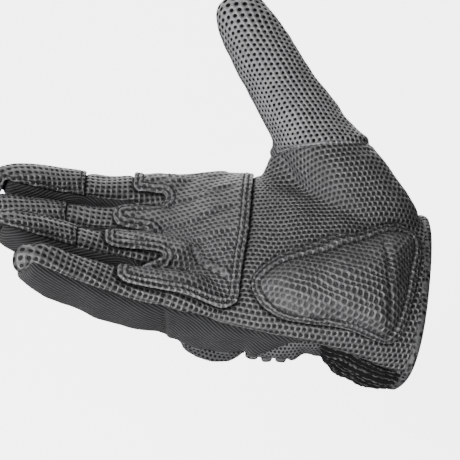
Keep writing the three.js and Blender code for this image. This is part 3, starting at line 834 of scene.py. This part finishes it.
class Wire:
    """A socket of a shader tree on which ordinary arithmetic can be written."""

    def __init__(self, tree, socket):
        self.tree = tree
        self.socket = socket

    def math(self, operation, *others):
        node = self.tree.nodes.new("ShaderNodeMath")
        node.operation = operation
        for slot, value in zip(node.inputs, (self, *others)):
            feed(self.tree, slot, value)
        return Wire(self.tree, node.outputs[0])

    def __add__(self, other):
        return self.math("ADD", other)

    __radd__ = __add__

    def __mul__(self, other):
        return self.math("MULTIPLY", other)

    __rmul__ = __mul__

    def __sub__(self, other):
        return self.math("SUBTRACT", other)

    def __rsub__(self, other):
        return (self * -1) + other

    def __truediv__(self, other):
        return self.math("DIVIDE", other)

    def __pow__(self, other):
        return self.math("POWER", other)


def feed(tree, slot, value):
    if isinstance(value, Wire):
        tree.links.new(value.socket, slot)
    else:
        slot.default_value = value


def tint(color, factor):
    return tuple(part * factor for part in color)


class Finish:
    """A material under construction."""

    def __init__(self, name):
        self.material = bpy.data.materials.new(name)
        self.material.use_nodes = True
        self.tree = self.material.node_tree
        self.shader = self.tree.nodes["Principled BSDF"]
        self.looks = bpy.context.scene.glove_looks

    def node(self, kind, settings=None, output=0, **sockets):
        made = self.tree.nodes.new(kind)
        for key, value in (settings or {}).items():
            setattr(made, key, value)
        for key, value in sockets.items():
            feed(self.tree, made.inputs[key.replace("_", " ")], value)
        return Wire(self.tree, made.outputs[output])

    def steps(self, value, low, high):
        """A soft change from nothing at low to one at high."""
        made = self.tree.nodes.new("ShaderNodeMapRange")
        made.interpolation_type = "SMOOTHSTEP"
        for slot, number in zip(made.inputs, (value, low, high)):
            feed(self.tree, slot, number)
        return Wire(self.tree, made.outputs[0])

    def mix(self, share, low, high):
        made = self.tree.nodes.new("ShaderNodeMix")
        made.data_type = "RGBA"
        feed(self.tree, made.inputs["Factor"], share)
        for slot, value in ((made.inputs[6], low), (made.inputs[7], high)):
            feed(self.tree, slot, value if isinstance(value, Wire) else (*value, 1.0))
        return Wire(self.tree, made.outputs[2])

    def cut_map(self):
        uv = self.node("ShaderNodeUVMap", {"uv_map": "cut"})
        split = self.tree.nodes.new("ShaderNodeSeparateXYZ")
        self.tree.links.new(uv.socket, split.inputs[0])
        return uv, Wire(self.tree, split.outputs[0]), Wire(self.tree, split.outputs[1])

    def attribute(self, name):
        return self.node("ShaderNodeAttribute", {"attribute_name": name}, output=2)

    def pulse(self, value, centre, width):
        """One where a value equals a centre, falling to nothing a width away."""
        return self.steps((value - centre).math("ABSOLUTE"), width, 0.0)

    def noise(self, vector, scale, detail=2.0, roughness=0.5):
        return self.node(
            "ShaderNodeTexNoise", Vector=vector, Scale=scale, Detail=detail, Roughness=roughness
        )

    def finish(self, color, roughness, height, strength, distance=0.001, **shader):
        bump = self.node("ShaderNodeBump", Height=height, Strength=strength, Distance=distance)
        feed(self.tree, self.shader.inputs["Base Color"], color)
        feed(self.tree, self.shader.inputs["Roughness"], roughness)
        self.tree.links.new(bump.socket, self.shader.inputs["Normal"])
        for key, value in shader.items():
            self.shader.inputs[key.replace("_", " ")].default_value = value
        return self.material

    def add_pits(self, share, color):
        """Shows a dull dark ground instead of the surface where the share is one; in holes and seam grooves
        this is painted shade.
        """
        ground = self.tree.nodes.new("ShaderNodeBsdfPrincipled")
        ground.inputs["Base Color"].default_value = (*color, 1)
        ground.inputs["Roughness"].default_value = 1.0
        ground.inputs["Specular IOR Level"].default_value = 0.0
        mixed = self.tree.nodes.new("ShaderNodeMixShader")
        feed(self.tree, mixed.inputs[0], share)
        self.tree.links.new(self.shader.outputs[0], mixed.inputs[1])
        self.tree.links.new(ground.outputs[0], mixed.inputs[2])
        self.tree.links.new(mixed.outputs[0], self.tree.nodes["Material Output"].inputs["Surface"])
        return self.material


def perforated(name, turn=0.0, slant=0.0, shade=1.0, rows=(), rim=1.0, stagger=None, depth=0.85):
    """Soft leather pierced by an even lattice of small holes, with painted shade in its holes, seam grooves
    and stitch rows and painted highlight on its rims.

    The slant shifts each row along the last. Between the two places of stagger, the lattice turns
    from a square one into one whose every other row is shifted by half.
    """
    f = Finish(name)
    uv, u, v = f.cut_map()
    stretch = f.noise(uv, 0.045, 1.0) - 0.5
    c, s = math.cos(math.radians(turn)), math.sin(math.radians(turn))
    pitch = setting("hole_pitch")
    radius = setting("hole_size") / pitch / 2
    row = (v * c - u * s) * (1 / pitch) + stretch * 1.3
    column = (u * c + v * s) * (1 / pitch) + stretch * -1.1 + row.math("FLOOR") * slant
    if stagger:
        column = column + (row.math("FLOOR") * 0.5).math("FRACT") * f.steps(u, *stagger)
    du = column.math("FRACT") - 0.5
    dv = row.math("FRACT") - 0.5
    off = (du * du + dv * dv) ** 0.5
    cell = f.node("ShaderNodeCombineXYZ", X=column.math("FLOOR"), Y=row.math("FLOOR"))
    chance = f.node("ShaderNodeTexWhiteNoise", Vector=cell)
    grip = off - (chance * 0.14 + 0.93) * radius
    edge = f.attribute("edge")
    # Painted shade: darker in the groove along the panel's seam, next to what is sewn on it and, below,
    # along the stitch rows.
    painted_groove_shade = f.pulse(edge, 1.0, 0.6) * (0.0 if rows else 0.6) + f.steps(f.attribute("beside"), 1.4, 0.3)
    # Lighter rims, scaled by rim, and, below, lighter puffs between the stitch rows: partly wear of the
    # raised leather and partly painted highlight.
    wear_and_painted_highlight = f.pulse(edge, 0.35, 0.5) * rim
    for place in rows:
        painted_groove_shade = painted_groove_shade + f.pulse(edge, place, 0.6)
    for first, second in zip(rows, rows[1:]):
        wear_and_painted_highlight = wear_and_painted_highlight + f.pulse(edge, (first + second) / 2, 0.8)
    painted_groove_shade = painted_groove_shade.math("MINIMUM", 1.0)
    hole = f.steps(grip, 0.04, -0.04) * (1 - wear_and_painted_highlight * 0.75)
    swell = f.steps(grip, -0.02, 0.36)
    grain = f.node("ShaderNodeTexVoronoi", {"feature": "DISTANCE_TO_EDGE"}, Vector=uv, Scale=1.9)
    fine = f.noise(uv, 3.4, 4.0, 0.6)
    patchy = f.noise(uv, 0.09, 3.0)
    crest = f.steps(grain, 0.0, 0.12)
    height = (1 - hole) * 0.45 + swell * 0.45 + crest * 0.05 + fine * 0.16
    # The shade makes lighter or darker copies of the one leather, which is painted light or shade.
    base = tint(f.looks.leather, shade)
    # Lighter at random, and a little lighter on the raised webs round the holes, which is painted highlight.
    leather = f.mix(f.steps(fine * 0.5 + patchy * 0.6 + swell * 0.2, 0.35, 0.9), base, tint(base, 1.7))
    # The rims and puffs are painted lighter: partly wear and partly painted highlight.
    leather = f.mix(wear_and_painted_highlight * (fine * 0.8 + 0.1), leather, tint(base, 2.6))
    # Painted shade in the seam grooves and the stitch rows.
    leather = f.mix(painted_groove_shade * 0.9, leather, tint(base, 0.1))
    roughness = 0.24 + fine * 0.16 + patchy * 0.1 + painted_groove_shade * 0.5 - wear_and_painted_highlight * 0.04
    f.finish(leather, roughness, height, 1.0, 0.001, Specular_IOR_Level=0.95)
    # Painted shade: a dull dark ground fills the holes, by the share depth, and fainter the seam grooves.
    return f.add_pits(hole * depth + painted_groove_shade * 0.35 * (1 - hole), tint(f.looks.leather, 0.16))


def rolled_leather(name):
    """The leather of the binding, whose holes are drawn shut and uneven by the turn."""
    f = Finish(name)
    place = f.node("ShaderNodeTexCoord", output=3)
    cells = f.node("ShaderNodeTexVoronoi", Vector=place, Scale=430.0, Randomness=0.45)
    hole = f.steps(cells, 0.3, 0.16)
    fine = f.noise(place, 2600.0, 4.0, 0.6)
    height = f.steps(cells, 0.1, 0.6) * 0.8 + fine * 0.2
    # Painted shade: the binding is the palm's leather at half its colour. Its lighter mottle on the webs
    # between the holes is partly random tone and partly painted glints.
    base = tint(f.looks.leather, 0.5)
    leather = f.mix(f.steps(fine * 0.7 + cells * 0.4, 0.45, 0.8), base, tint(f.looks.leather, 2.0))
    # Painted shade in the holes: a dark colour and a dull dark ground.
    color = f.mix(hole, leather, tint(base, 0.15))
    f.finish(color, 0.38 + fine * 0.2, height, 1.0, 0.0012, Specular_IOR_Level=0.5)
    return f.add_pits(hole * 0.9, tint(base, 0.2))


def ribbed_cloth(name, turn=-62.0, pitch=1.15, shade=1.0):
    """Stretch cloth with fine slanting ribs."""
    f = Finish(name)
    uv, u, v = f.cut_map()
    c, s = math.cos(math.radians(turn)), math.sin(math.radians(turn))
    swing = (f.noise(uv, 0.08, 2.0) - 0.5) * 1.2
    rib = ((v * c - u * s) * (2 * math.pi / pitch) + swing).math("SINE") * 0.5 + 0.5
    thread = ((u * c + v * s) * (2 * math.pi / 0.55)).math("SINE") * 0.5 + 0.5
    fuzz = f.noise(uv, 4.5, 3.0, 0.6)
    height = rib * 0.7 + thread * rib * 0.25 + fuzz * 0.15
    # The shade makes lighter or darker copies of the one cloth, which is painted light or shade. The ribs'
    # crests are painted lighter and the valleys between them darker: painted highlight and painted shade
    # that follow the ribs' relief.
    dark, light = tint(f.looks.cloth, 0.45 * shade), tint(f.looks.cloth, 1.75 * shade)
    color = f.mix(f.steps(rib * 0.75 + fuzz * 0.35, 0.2, 0.95), dark, light)
    return f.finish(
        color, 0.78 + fuzz * 0.15, height, 0.9, 0.0006,
        Specular_IOR_Level=0.12, Sheen_Weight=0.05, Sheen_Roughness=0.5,
    )


def mesh_cloth(name, pitch=1.7, shade=1.0):
    """Spacer mesh: small open cells in offset rows."""
    f = Finish(name)
    uv, u, v = f.cut_map()
    row = (v * (1 / (pitch * 0.87))).math("FLOOR")
    shift = (row * 0.5).math("FRACT")
    du = (u * (1 / pitch) + shift).math("FRACT") - 0.5
    dv = ((v * (1 / (pitch * 0.87))).math("FRACT") - 0.5) * 0.87
    off = (du * du + dv * dv) ** 0.5
    hole = f.steps(off, 0.36, 0.2)
    fuzz = f.noise(uv, 4.0, 3.0, 0.6)
    height = (1 - hole) * 0.8 + fuzz * 0.2
    # The shade makes lighter or darker copies of the one cloth, which is painted light or shade. The open
    # cells are painted shade: a dark colour and a dull dark ground; the rest is lighter at random.
    dark, light = tint(f.looks.cloth, 0.2 * shade), tint(f.looks.cloth, 1.9 * shade)
    color = f.mix(hole, f.mix(fuzz, f.looks.cloth, light), dark)
    f.finish(color, 0.5 + fuzz * 0.2, height, 0.9, 0.0007, Specular_IOR_Level=0.4)
    return f.add_pits(hole * 0.8, dark)


def elastic_cloth(name):
    """Shirred elastic: near black, with glints painted into its colour along the ridges where the gathers
    would catch the light.
    """
    f = Finish(name)
    uv, u, v = f.cut_map()
    ridge = f.attribute("ridge")
    weave = ((u * (2 * math.pi / 0.9)).math("SINE") * (v * (2 * math.pi / 0.9)).math("SINE")) * 0.5 + 0.5
    streaks = f.noise(f.node("ShaderNodeCombineXYZ", X=u * 0.55, Y=v * 1.3), 1.0, 3.0, 0.6)
    fuzz = f.noise(uv, 2.6, 4.0, 0.65)
    painted_glint = f.steps(ridge * 0.55 + streaks * 0.75 + (fuzz - 0.5) * 0.5, 0.7, 0.98)
    dark = tint(f.looks.cloth, 0.3)
    # Painted highlight: the glints are a much lighter colour, and elsewhere lies a dull dark ground.
    color = f.mix(painted_glint, dark, tint(f.looks.cloth, 3.2))
    height = weave * 0.3 + fuzz * 0.7
    f.finish(color, 0.45 + fuzz * 0.2, height, 1.0, 0.0007, Specular_IOR_Level=0.5)
    return f.add_pits(1 - painted_glint, dark)


def thread_finish(name):
    f = Finish(name)
    place = f.node("ShaderNodeTexCoord", output=3)
    fine = f.noise(place, 5200.0, 3.0, 0.6)
    color = f.mix(f.steps(fine, 0.3, 0.7), f.looks.thread, tint(f.looks.thread, 1.8))
    return f.finish(color, 0.5 + fine * 0.2, fine, 0.4, 0.0002, Specular_IOR_Level=0.4)


# Pieces

def dress(piece, material, slot, *nodes):
    piece.data.materials.clear()
    piece.data.materials.append(material)
    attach(piece, "root")
    if nodes:
        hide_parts(*nodes)
    return piece


def peak(distance, width):
    return np.exp(-(distance / width) ** 2)


def seam_relief(bm, name):
    """The pull of the thread: a panel dips into its seams and round what is sewn on it."""
    depth = setting("seam_depth")
    inside = np.maximum(values_of(bm, name), 0)
    height = -depth * peak(inside, 1.1) + 0.35 * depth * peak(inside - 2.6, 1.3)
    beside = np.full(len(inside), FAR_BESIDE)
    if name in ("palm_leather", "thumb_front", "side_panel"):
        for other in SEWN_ON:
            beside = np.minimum(beside, -values_of(bm, other))
        height -= 0.8 * peak(np.maximum(beside, 0), 0.9)
    # The edge and beside layers place the painted shade of the seams and the painted highlight of the rims
    # in the leather's shader.
    mark(bm, "edge", inside)
    mark(bm, "beside", beside)
    return height


def thumb_fold(bm):
    """The leather folds over itself where the thumb meets the palm."""
    plane = values_of(bm, "thumb_plane")
    return sum(height * peak(plane - place, FOLD_WIDTH) for place, height in THUMB_FOLD)


def wave(turns):
    return 0.5 + 0.5 * np.cos(2 * np.pi * turns)


def gather_relief(bm):
    """Ridges that run along the wrist, broken by the rows of elastic."""
    points = read_points(bm)
    angle = values_of(bm, "angle")
    low = values_of(bm, "low_seam")
    high = values_of(bm, "thumb_seam") + 360
    share = ((angle + (angle < low - 40) * 360) - low) / (high - low)
    x = points[:, 0]
    coarse = wave(GATHER_RIDGES * share + 0.2 * ripple(points, 22, 11))
    fine = wave(FINE_RIDGES * share + 0.3 * ripple(points, 16, 14))
    rows = wave(x / ELASTIC_PITCH + 3 * share + 0.5 * ripple(points, 14, 12))
    # The ridge layer places the glints that the elastic's shader paints.
    mark(bm, "ridge", fine * (0.8 + 0.2 * rows))
    puff = smooth_step(49, 58, x) * (0.35 + 0.65 * smooth_step(0, 2.5, 90 - x))
    ridges = 0.7 * coarse + 1.4 * fine ** 0.8 * (0.75 + 0.25 * rows) - 0.6
    return puff * ridges - 1.1 * band(x, GATHER_START_X, 66, 4)


def shell_panel(name, material, slot, finer=False, relief=None):
    """One panel of the shell, with its seams drawn in and its wall inside."""
    bm = sheet_of(name)
    if finer:
        bmesh.ops.subdivide_edges(bm, edges=bm.edges[:], cuts=1, use_grid_fill=True)
    flatten(bm)
    height = seam_relief(bm, name)
    if relief:
        height = height + relief(bm)
    push(bm, height)
    wall(bm, PANEL_THICKNESS)
    return dress(finish_object(bm, f"{name}_sewn"), material, slot, name)


def overlay(name, material, slot, top, rows=(), crown=None):
    """A layer sewn on the skin: its turned edge, the channels of its stitching and its crown."""
    bm = sheet_of(name)
    bmesh.ops.subdivide_edges(bm, edges=bm.edges[:], cuts=1, use_grid_fill=True)
    smooth(bm, [v for v in bm.verts if not v.is_boundary], 3)
    flatten(bm)
    inside = np.maximum(values_of(bm, name), 0)
    tall = top * (1 - 0.4 * peak(inside, 0.4)) + (crown(inside, bm) if crown else 0)
    for row in rows:
        tall = tall - 0.4 * peak(inside - row, 0.55)
    for first, second in zip(rows, rows[1:]):
        tall = tall + 0.35 * peak(inside - (first + second) / 2, 0.7)
    # The edge layer places the painted shade of the stitch rows and the painted highlight of the rim and
    # puffs in the leather's shader.
    mark(bm, "edge", inside)
    mark(bm, "beside", np.full(len(inside), FAR_BESIDE))
    push(bm, tall)
    lines = [chain for row in rows for chain in contour(bm, name, row)]
    wall(bm, max(float(tall.min()), LEAST_THICKNESS) + UNDERLAP)
    return dress(finish_object(bm, f"{name}_sewn"), material, slot, name), lines


def contour(bm, name, level):
    """The points and normals along a line of equal distance from an overlay's edge."""
    copy = bm.copy()
    line = cut(copy, name, level)
    copy.normal_update()
    on_line = set(line)
    edges = {v: [e.other_vert(v) for e in v.link_edges if e.other_vert(v) in on_line] for v in line}
    chains, seen = [], set()
    for start in [v for v in line if len(edges[v]) == 1] + line:
        if start in seen:
            continue
        chain, here = [], start
        while here is not None:
            seen.add(here)
            chain.append((here.co.copy(), here.normal.copy()))
            following = [v for v in edges[here] if v not in seen]
            here = following[0] if following else None
        if len(chain) > SHORTEST_CHAIN:
            chains.append(chain)
    copy.free()
    return chains


def along_rows(run, rows, at):
    return Vector([np.interp(at, run, rows[:, k]) for k in range(3)])


def stitches(name, chains, thread):
    """Rows of short thread loops along lines on the glove."""
    bm = bmesh.new()
    half, side_half, tall = STITCH_LENGTH / 2, STITCH_WIDTH / 2, STITCH_WIDTH / 2.2
    for chain in chains:
        points = np.array([co for co, _ in chain])
        normals = np.array([normal for _, normal in chain])
        run = np.concatenate(([0], np.cumsum(np.linalg.norm(np.diff(points, axis=0), axis=1))))
        for i in range(int(run[-1] / STITCH_PITCH)):
            at = (i + 0.5) * STITCH_PITCH
            middle, start, end = (along_rows(run, points, r) for r in (at, at - half, at + half))
            along = (end - start).normalized()
            up = along_rows(run, normals, at)
            up = (up - along * up.dot(along)).normalized()
            turn = Matrix((along, up.cross(along), up)).transposed().to_4x4()
            place = Matrix.Translation(middle + up * (tall - STITCH_SINK)) @ turn
            place = place @ Matrix.Diagonal((half, side_half, tall, 1))
            bmesh.ops.create_uvsphere(bm, u_segments=6, v_segments=5, radius=1, matrix=place)
    dress(finish_object(bm, name), thread_finish(thread), "leather")


# Add-on

LENGTH = {"min": 0.0003, "precision": 5, "subtype": "DISTANCE", "unit": "LENGTH"}
COLOR = {"size": 3, "min": 0.0, "max": 1.0, "subtype": "COLOR"}


class GloveSizes(bpy.types.PropertyGroup):
    """Sizes that a user would change"""

    skin_step: FloatProperty(
        name="Skin step", description="Size of the skin's faces", default=0.00089, **LENGTH
    )
    hole_pitch: FloatProperty(
        name="Hole pitch", description="Distance between two holes", default=0.0025, **LENGTH
    )
    hole_size: FloatProperty(name="Hole size", description="Diameter of a hole", default=0.00145, **LENGTH)
    seam_depth: FloatProperty(
        name="Seam depth", description="How far a seam pulls the skin in", default=0.0007, **LENGTH
    )


class GloveLooks(bpy.types.PropertyGroup):
    """Colours that a user would change"""

    leather: FloatVectorProperty(
        name="Leather", description="Leather of the palm", default=(0.034, 0.034, 0.035), **COLOR
    )
    cloth: FloatVectorProperty(
        name="Cloth", description="Stretch cloth and mesh", default=(0.026, 0.026, 0.027), **COLOR
    )
    thread: FloatVectorProperty(
        name="Thread", description="Sewing thread", default=(0.012, 0.012, 0.0125), **COLOR
    )


class GLOVE_OT_shell(bpy.types.Operator):
    """Builds the sewn panels of the shell"""

    bl_idname = "glove.shell"
    bl_label = "Shell panels"

    def execute(self, context):
        leather = perforated("perforated_leather", stagger=(-12, 14))
        # shade 0.9 paints shade into the ribbed cloth, and shade above one paints light into the back mesh,
        # the thumb leather and the thumb cloth.
        ribbed = ribbed_cloth("ribbed_cloth", shade=0.9)
        mesh = mesh_cloth("back_mesh", shade=1.5)
        thumb_leather = perforated("thumb_leather", turn=-60, slant=0.5, shade=2.9, depth=1.0)
        thumb_cloth = ribbed_cloth("thumb_cloth", turn=60, pitch=1.3, shade=1.8)
        elastic = elastic_cloth("gathered_elastic")
        shell_panel("palm_leather", leather, "leather", relief=thumb_fold)
        shell_panel("thumb_front", thumb_leather, "leather", relief=thumb_fold)
        shell_panel("thumb_back", thumb_cloth, "stretch_cloth", relief=thumb_fold)
        for name in ("side_panel", *(f"{finger}_side_wall" for finger in FINGER_NAMES)):
            shell_panel(name, ribbed, "stretch_cloth")
        shell_panel("back_panel", mesh, "mesh_cloth")
        shell_panel("thumb_gusset", ribbed, "stretch_cloth")
        shell_panel("wrist_gather", elastic, "gathered_elastic", finer=True, relief=gather_relief)
        return {"FINISHED"}


CREASES = table(
    "x1 y1 x2 y2 depth width",
    (-6, -9, 9.5, -25, 1.1, 1.5),
    (-24, 18, 15, 30, 0.5, 1.6),
    (-18, 4, 13, 17, 0.6, 1.5),
    (-14, -6, 13, 2, 0.6, 1.6),
    (-26, 33, 8, 40, 0.4, 1.6),
    (2, -14, 14, -6, 0.4, 1.4),
    (-20, -26, -4, -20, 0.4, 1.6),
)


def palm_creases(inside, bm):
    """The soft folds that bending has pressed into the palm's second layer."""
    points = read_points(bm)[:, :2]
    height = 0.35 * ripple(read_points(bm), 11, 31)
    for x1, y1, x2, y2, depth, width in zip(*CREASES.values()):
        start, run = np.array((x1, y1)), np.array((x2 - x1, y2 - y1))
        t = (points - start) @ run / (run @ run)
        across = (points - start) @ np.array((-run[1], run[0])) / np.linalg.norm(run)
        across = across + 1.2 * np.sin(t * 5)
        fade = smooth_step(-0.15, 0.2, t) * (1 - smooth_step(0.8, 1.15, t))
        height += fade * depth * (0.9 * peak(across - 1.5 * width, width) - peak(across, width * 0.7))
    return height * smooth_step(0.5, 6, inside)


class GLOVE_OT_overlays(bpy.types.Operator):
    """Builds the layers sewn over the palm and the fingertips"""

    bl_idname = "glove.overlays"
    bl_label = "Palm overlay and tip patches"

    def execute(self, context):
        # shade 1.4 paints light into the overlay's leather.
        leather = perforated("overlay_leather", turn=5, slant=0.35, shade=1.4, rows=HEM_ROWS, depth=0.65)
        _, lines = overlay("palm_overlay", leather, "leather", 1.6, rows=HEM_ROWS, crown=palm_creases)
        patch_leather = perforated("patch_leather", turn=8, slant=0.2, rows=PATCH_ROWS, rim=0.4)
        for name in FINGER_NAMES[:3]:
            _, more = overlay(f"{name}_tip_patch", patch_leather, "leather", 1.0, rows=PATCH_ROWS)
            lines += more
        stitches("overlay_stitching", lines, "overlay_thread")
        return {"FINISHED"}


class GLOVE_OT_heel_pad(bpy.types.Operator):
    """Builds the padded heel"""

    bl_idname = "glove.heel_pad"
    bl_label = "Heel pad"

    def execute(self, context):
        def crown(inside, bm):
            x = read_points(bm)[:, 0]
            full = 5.6 * smooth_step(3.7, 14, inside) ** 0.55 * (1 - 0.3 * smooth_step(70, 86, x))
            return full - 0.9 * peak(x - 77.5, 1.3) * smooth_step(5, 9, inside)

        leather = perforated("pad_leather", turn=-16, slant=0.5, rows=PAD_ROWS, rim=0.3, depth=0.6)
        pad, lines = overlay("heel_pad", leather, "leather", 1.5, rows=PAD_ROWS, crown=crown)
        stitches("pad_stitching", lines, "pad_thread")
        return {"FINISHED"}


class GLOVE_OT_guard(bpy.types.Operator):
    """Builds the knuckle guard and the flex ribs on the back"""

    bl_idname = "glove.guard"
    bl_label = "Knuckle guard and ribs"

    def execute(self, context):
        def domed(inside, bm):
            rise = np.interp(read_points(bm)[:, 0], GUARD_RISE["x"], GUARD_RISE["rise"])
            angle = values_of(bm, "angle")
            domes = [1 - ((angle - middle) / GUARD_DOME_WIDTH) ** 2 for middle in GUARD_DOMES]
            domes = np.max([*domes, 0 * angle], axis=0)
            return rise * (GUARD_VALLEY + (1 - GUARD_VALLEY) * domes) * smooth_step(-2, 5, inside)

        cloth = mesh_cloth("guard_mesh", pitch=1.9, shade=1.4)
        guard, _ = overlay("knuckle_guard", cloth, "mesh_cloth", 0.4, crown=domed)
        for i, tall in enumerate(RIBS["height"]):
            half = (RIBS["end"][i] - RIBS["start"][i]) / 2

            def barrel(inside, bm, tall=tall, half=half):
                share = np.clip(inside / half, 0, 1)
                return (tall - RIB_BED) * np.sqrt(1 - (1 - share) ** 2)

            rib, _ = overlay(f"flex_rib_{i + 1}", cloth, "mesh_cloth", 0.4, crown=barrel)
        return {"FINISHED"}


BINDING_WIDTH = 3.8
BINDING_THICKNESS = 1.5
BINDING_ROUNDNESS = 0.8
BINDING_SINK = 0.35
BINDING_AHEAD = 0.5


class GLOVE_OT_binding(bpy.types.Operator):
    """Builds the rolled binding of the wrist opening"""

    bl_idname = "glove.binding"
    bl_label = "Wrist binding"

    def execute(self, context):
        bm = bmesh.new()
        made = bmesh.ops.create_grid(bm, x_segments=160, y_segments=14, size=1)["verts"]
        flat = np.array([v.co[:2] for v in made])
        angle = (flat[:, 0] + 1) * 180
        roll = (flat[:, 1] + 1) * np.pi
        last = np.full(len(flat), len(TRUNK_LOBE.run) - 1.0)
        rim = TRUNK_LOBE.point(last, angle)
        outward = unit(rim - TRUNK_LOBE.centre[-1])
        thick = BINDING_THICKNESS + 0.15 * ripple(rim, 9, 21)
        out = superpower(np.cos(roll), BINDING_ROUNDNESS) * thick - BINDING_SINK
        along = superpower(np.sin(roll), BINDING_ROUNDNESS) * BINDING_WIDTH / 2 + BINDING_AHEAD
        place = rim + outward * out[:, None] + TRUNK_LOBE.ahead[-1] * along[:, None]
        set_places(made, place)
        bmesh.ops.remove_doubles(bm, verts=bm.verts, dist=1e-3)
        bmesh.ops.recalc_face_normals(bm, faces=bm.faces)
        piece = finish_object(bm, "cuff_binding_rolled")
        dress(piece, rolled_leather("binding_leather"), "leather", "cuff_binding")
        return {"FINISHED"}


CAMERA_TARGET = (-79.9, 16.4, 28.5)
CAMERA_ELEVATION = 48
CAMERA_DISTANCE = 0.7
CAMERA_LENS = 123.1
FLOOR_HALF = 4
FLOOR_Z = -0.25
FLOOR_GLOW = 4.0
STUDIO_GLOW = 0.16
# name, place from the camera's target in metres, size in metres, power in watts
LAMPS = (
    ("key", (-0.5, -0.42, 0.95), 0.45, 15.5),
    ("high_left", (-1.0, 0.0, 0.5), 0.7, 10),
    ("low_front", (-0.25, -1.1, 0.12), 0.5, 24),
    ("overhead", (0.1, 0.4, 1.2), 1.5, 3.5),
    ("behind", (0.0, 1.05, -0.15), 1.0, 12),
)


class GLOVE_OT_stage(bpy.types.Operator):
    """Sets the pale floor, the soft lights and the camera"""

    bl_idname = "glove.stage"
    bl_label = "Stage"

    def execute(self, context):
        target = Vector(CAMERA_TARGET) * MM
        lift = math.radians(CAMERA_ELEVATION)
        toward = Vector((0, -math.cos(lift), math.sin(lift)))
        camera = bpy.data.cameras.new("camera")
        camera.lens = CAMERA_LENS
        camera.sensor_width = 36
        camera.clip_start = 0.01
        eye = add_object("camera", camera)
        eye.location = target + toward * CAMERA_DISTANCE
        eye.rotation_euler = (math.pi / 2 - lift, 0, 0)
        context.scene.camera = eye

        bm = bmesh.new()
        bmesh.ops.create_grid(bm, x_segments=1, y_segments=1, size=FLOOR_HALF)
        bmesh.ops.translate(bm, verts=bm.verts, vec=(0, 0, FLOOR_Z))
        mesh = mesh_from(bm, "floor")
        floor = add_object("floor", mesh)
        f = Finish("floor_paint")
        place = f.node("ShaderNodeTexCoord", output=3)
        tone = f.noise(place, 2.0, 2.0)
        color = f.mix(tone, (0.93, 0.93, 0.93), (0.96, 0.96, 0.96))
        f.shader.inputs["Emission Strength"].default_value = FLOOR_GLOW
        feed(f.tree, f.shader.inputs["Emission Color"], color)
        mesh.materials.append(f.finish(color, 0.8 + tone * 0.05, tone, 0.02))
        floor.visible_diffuse = False
        floor.visible_glossy = False

        world = context.scene.world or bpy.data.worlds.new("studio")
        context.scene.world = world
        world.use_nodes = True
        background = world.node_tree.nodes["Background"]
        background.inputs["Color"].default_value = (1, 1, 1, 1)
        background.inputs["Strength"].default_value = STUDIO_GLOW
        for name, place, size, power in LAMPS:
            lamp = bpy.data.lights.new(name, "AREA")
            lamp.size = size
            lamp.energy = power
            stand = add_object(name, lamp)
            stand.location = target + Vector(place)
            stand.rotation_euler = Vector(place).to_track_quat("Z", "Y").to_euler()
        return {"FINISHED"}


STEPS = (
    GLOVE_OT_shell, GLOVE_OT_overlays, GLOVE_OT_heel_pad, GLOVE_OT_guard, GLOVE_OT_binding, GLOVE_OT_stage,
)


class GLOVE_PT_panel(bpy.types.Panel):
    """Lists the glove's steps and settings"""

    bl_label = "Glove"
    bl_space_type = "VIEW_3D"
    bl_region_type = "UI"
    bl_category = "Glove"

    def draw(self, context):
        for step in STEPS:
            self.layout.operator(step.bl_idname)
        for group in (context.scene.glove_sizes, context.scene.glove_looks):
            for name in group.__annotations__:
                self.layout.prop(group, name)


CLASSES = (GloveSizes, GloveLooks, *STEPS, GLOVE_PT_panel)


def register():
    for cls in CLASSES:
        bpy.utils.register_class(cls)
    bpy.types.Scene.glove_sizes = PointerProperty(type=GloveSizes)
    bpy.types.Scene.glove_looks = PointerProperty(type=GloveLooks)


def unregister():
    del bpy.types.Scene.glove_looks
    del bpy.types.Scene.glove_sizes
    for cls in reversed(CLASSES):
        bpy.utils.unregister_class(cls)


def main():
    register()
    for step in STEPS:
        group, name = step.bl_idname.split(".")
        getattr(getattr(bpy.ops, group), name)()


if __name__ == "__main__":
    main()
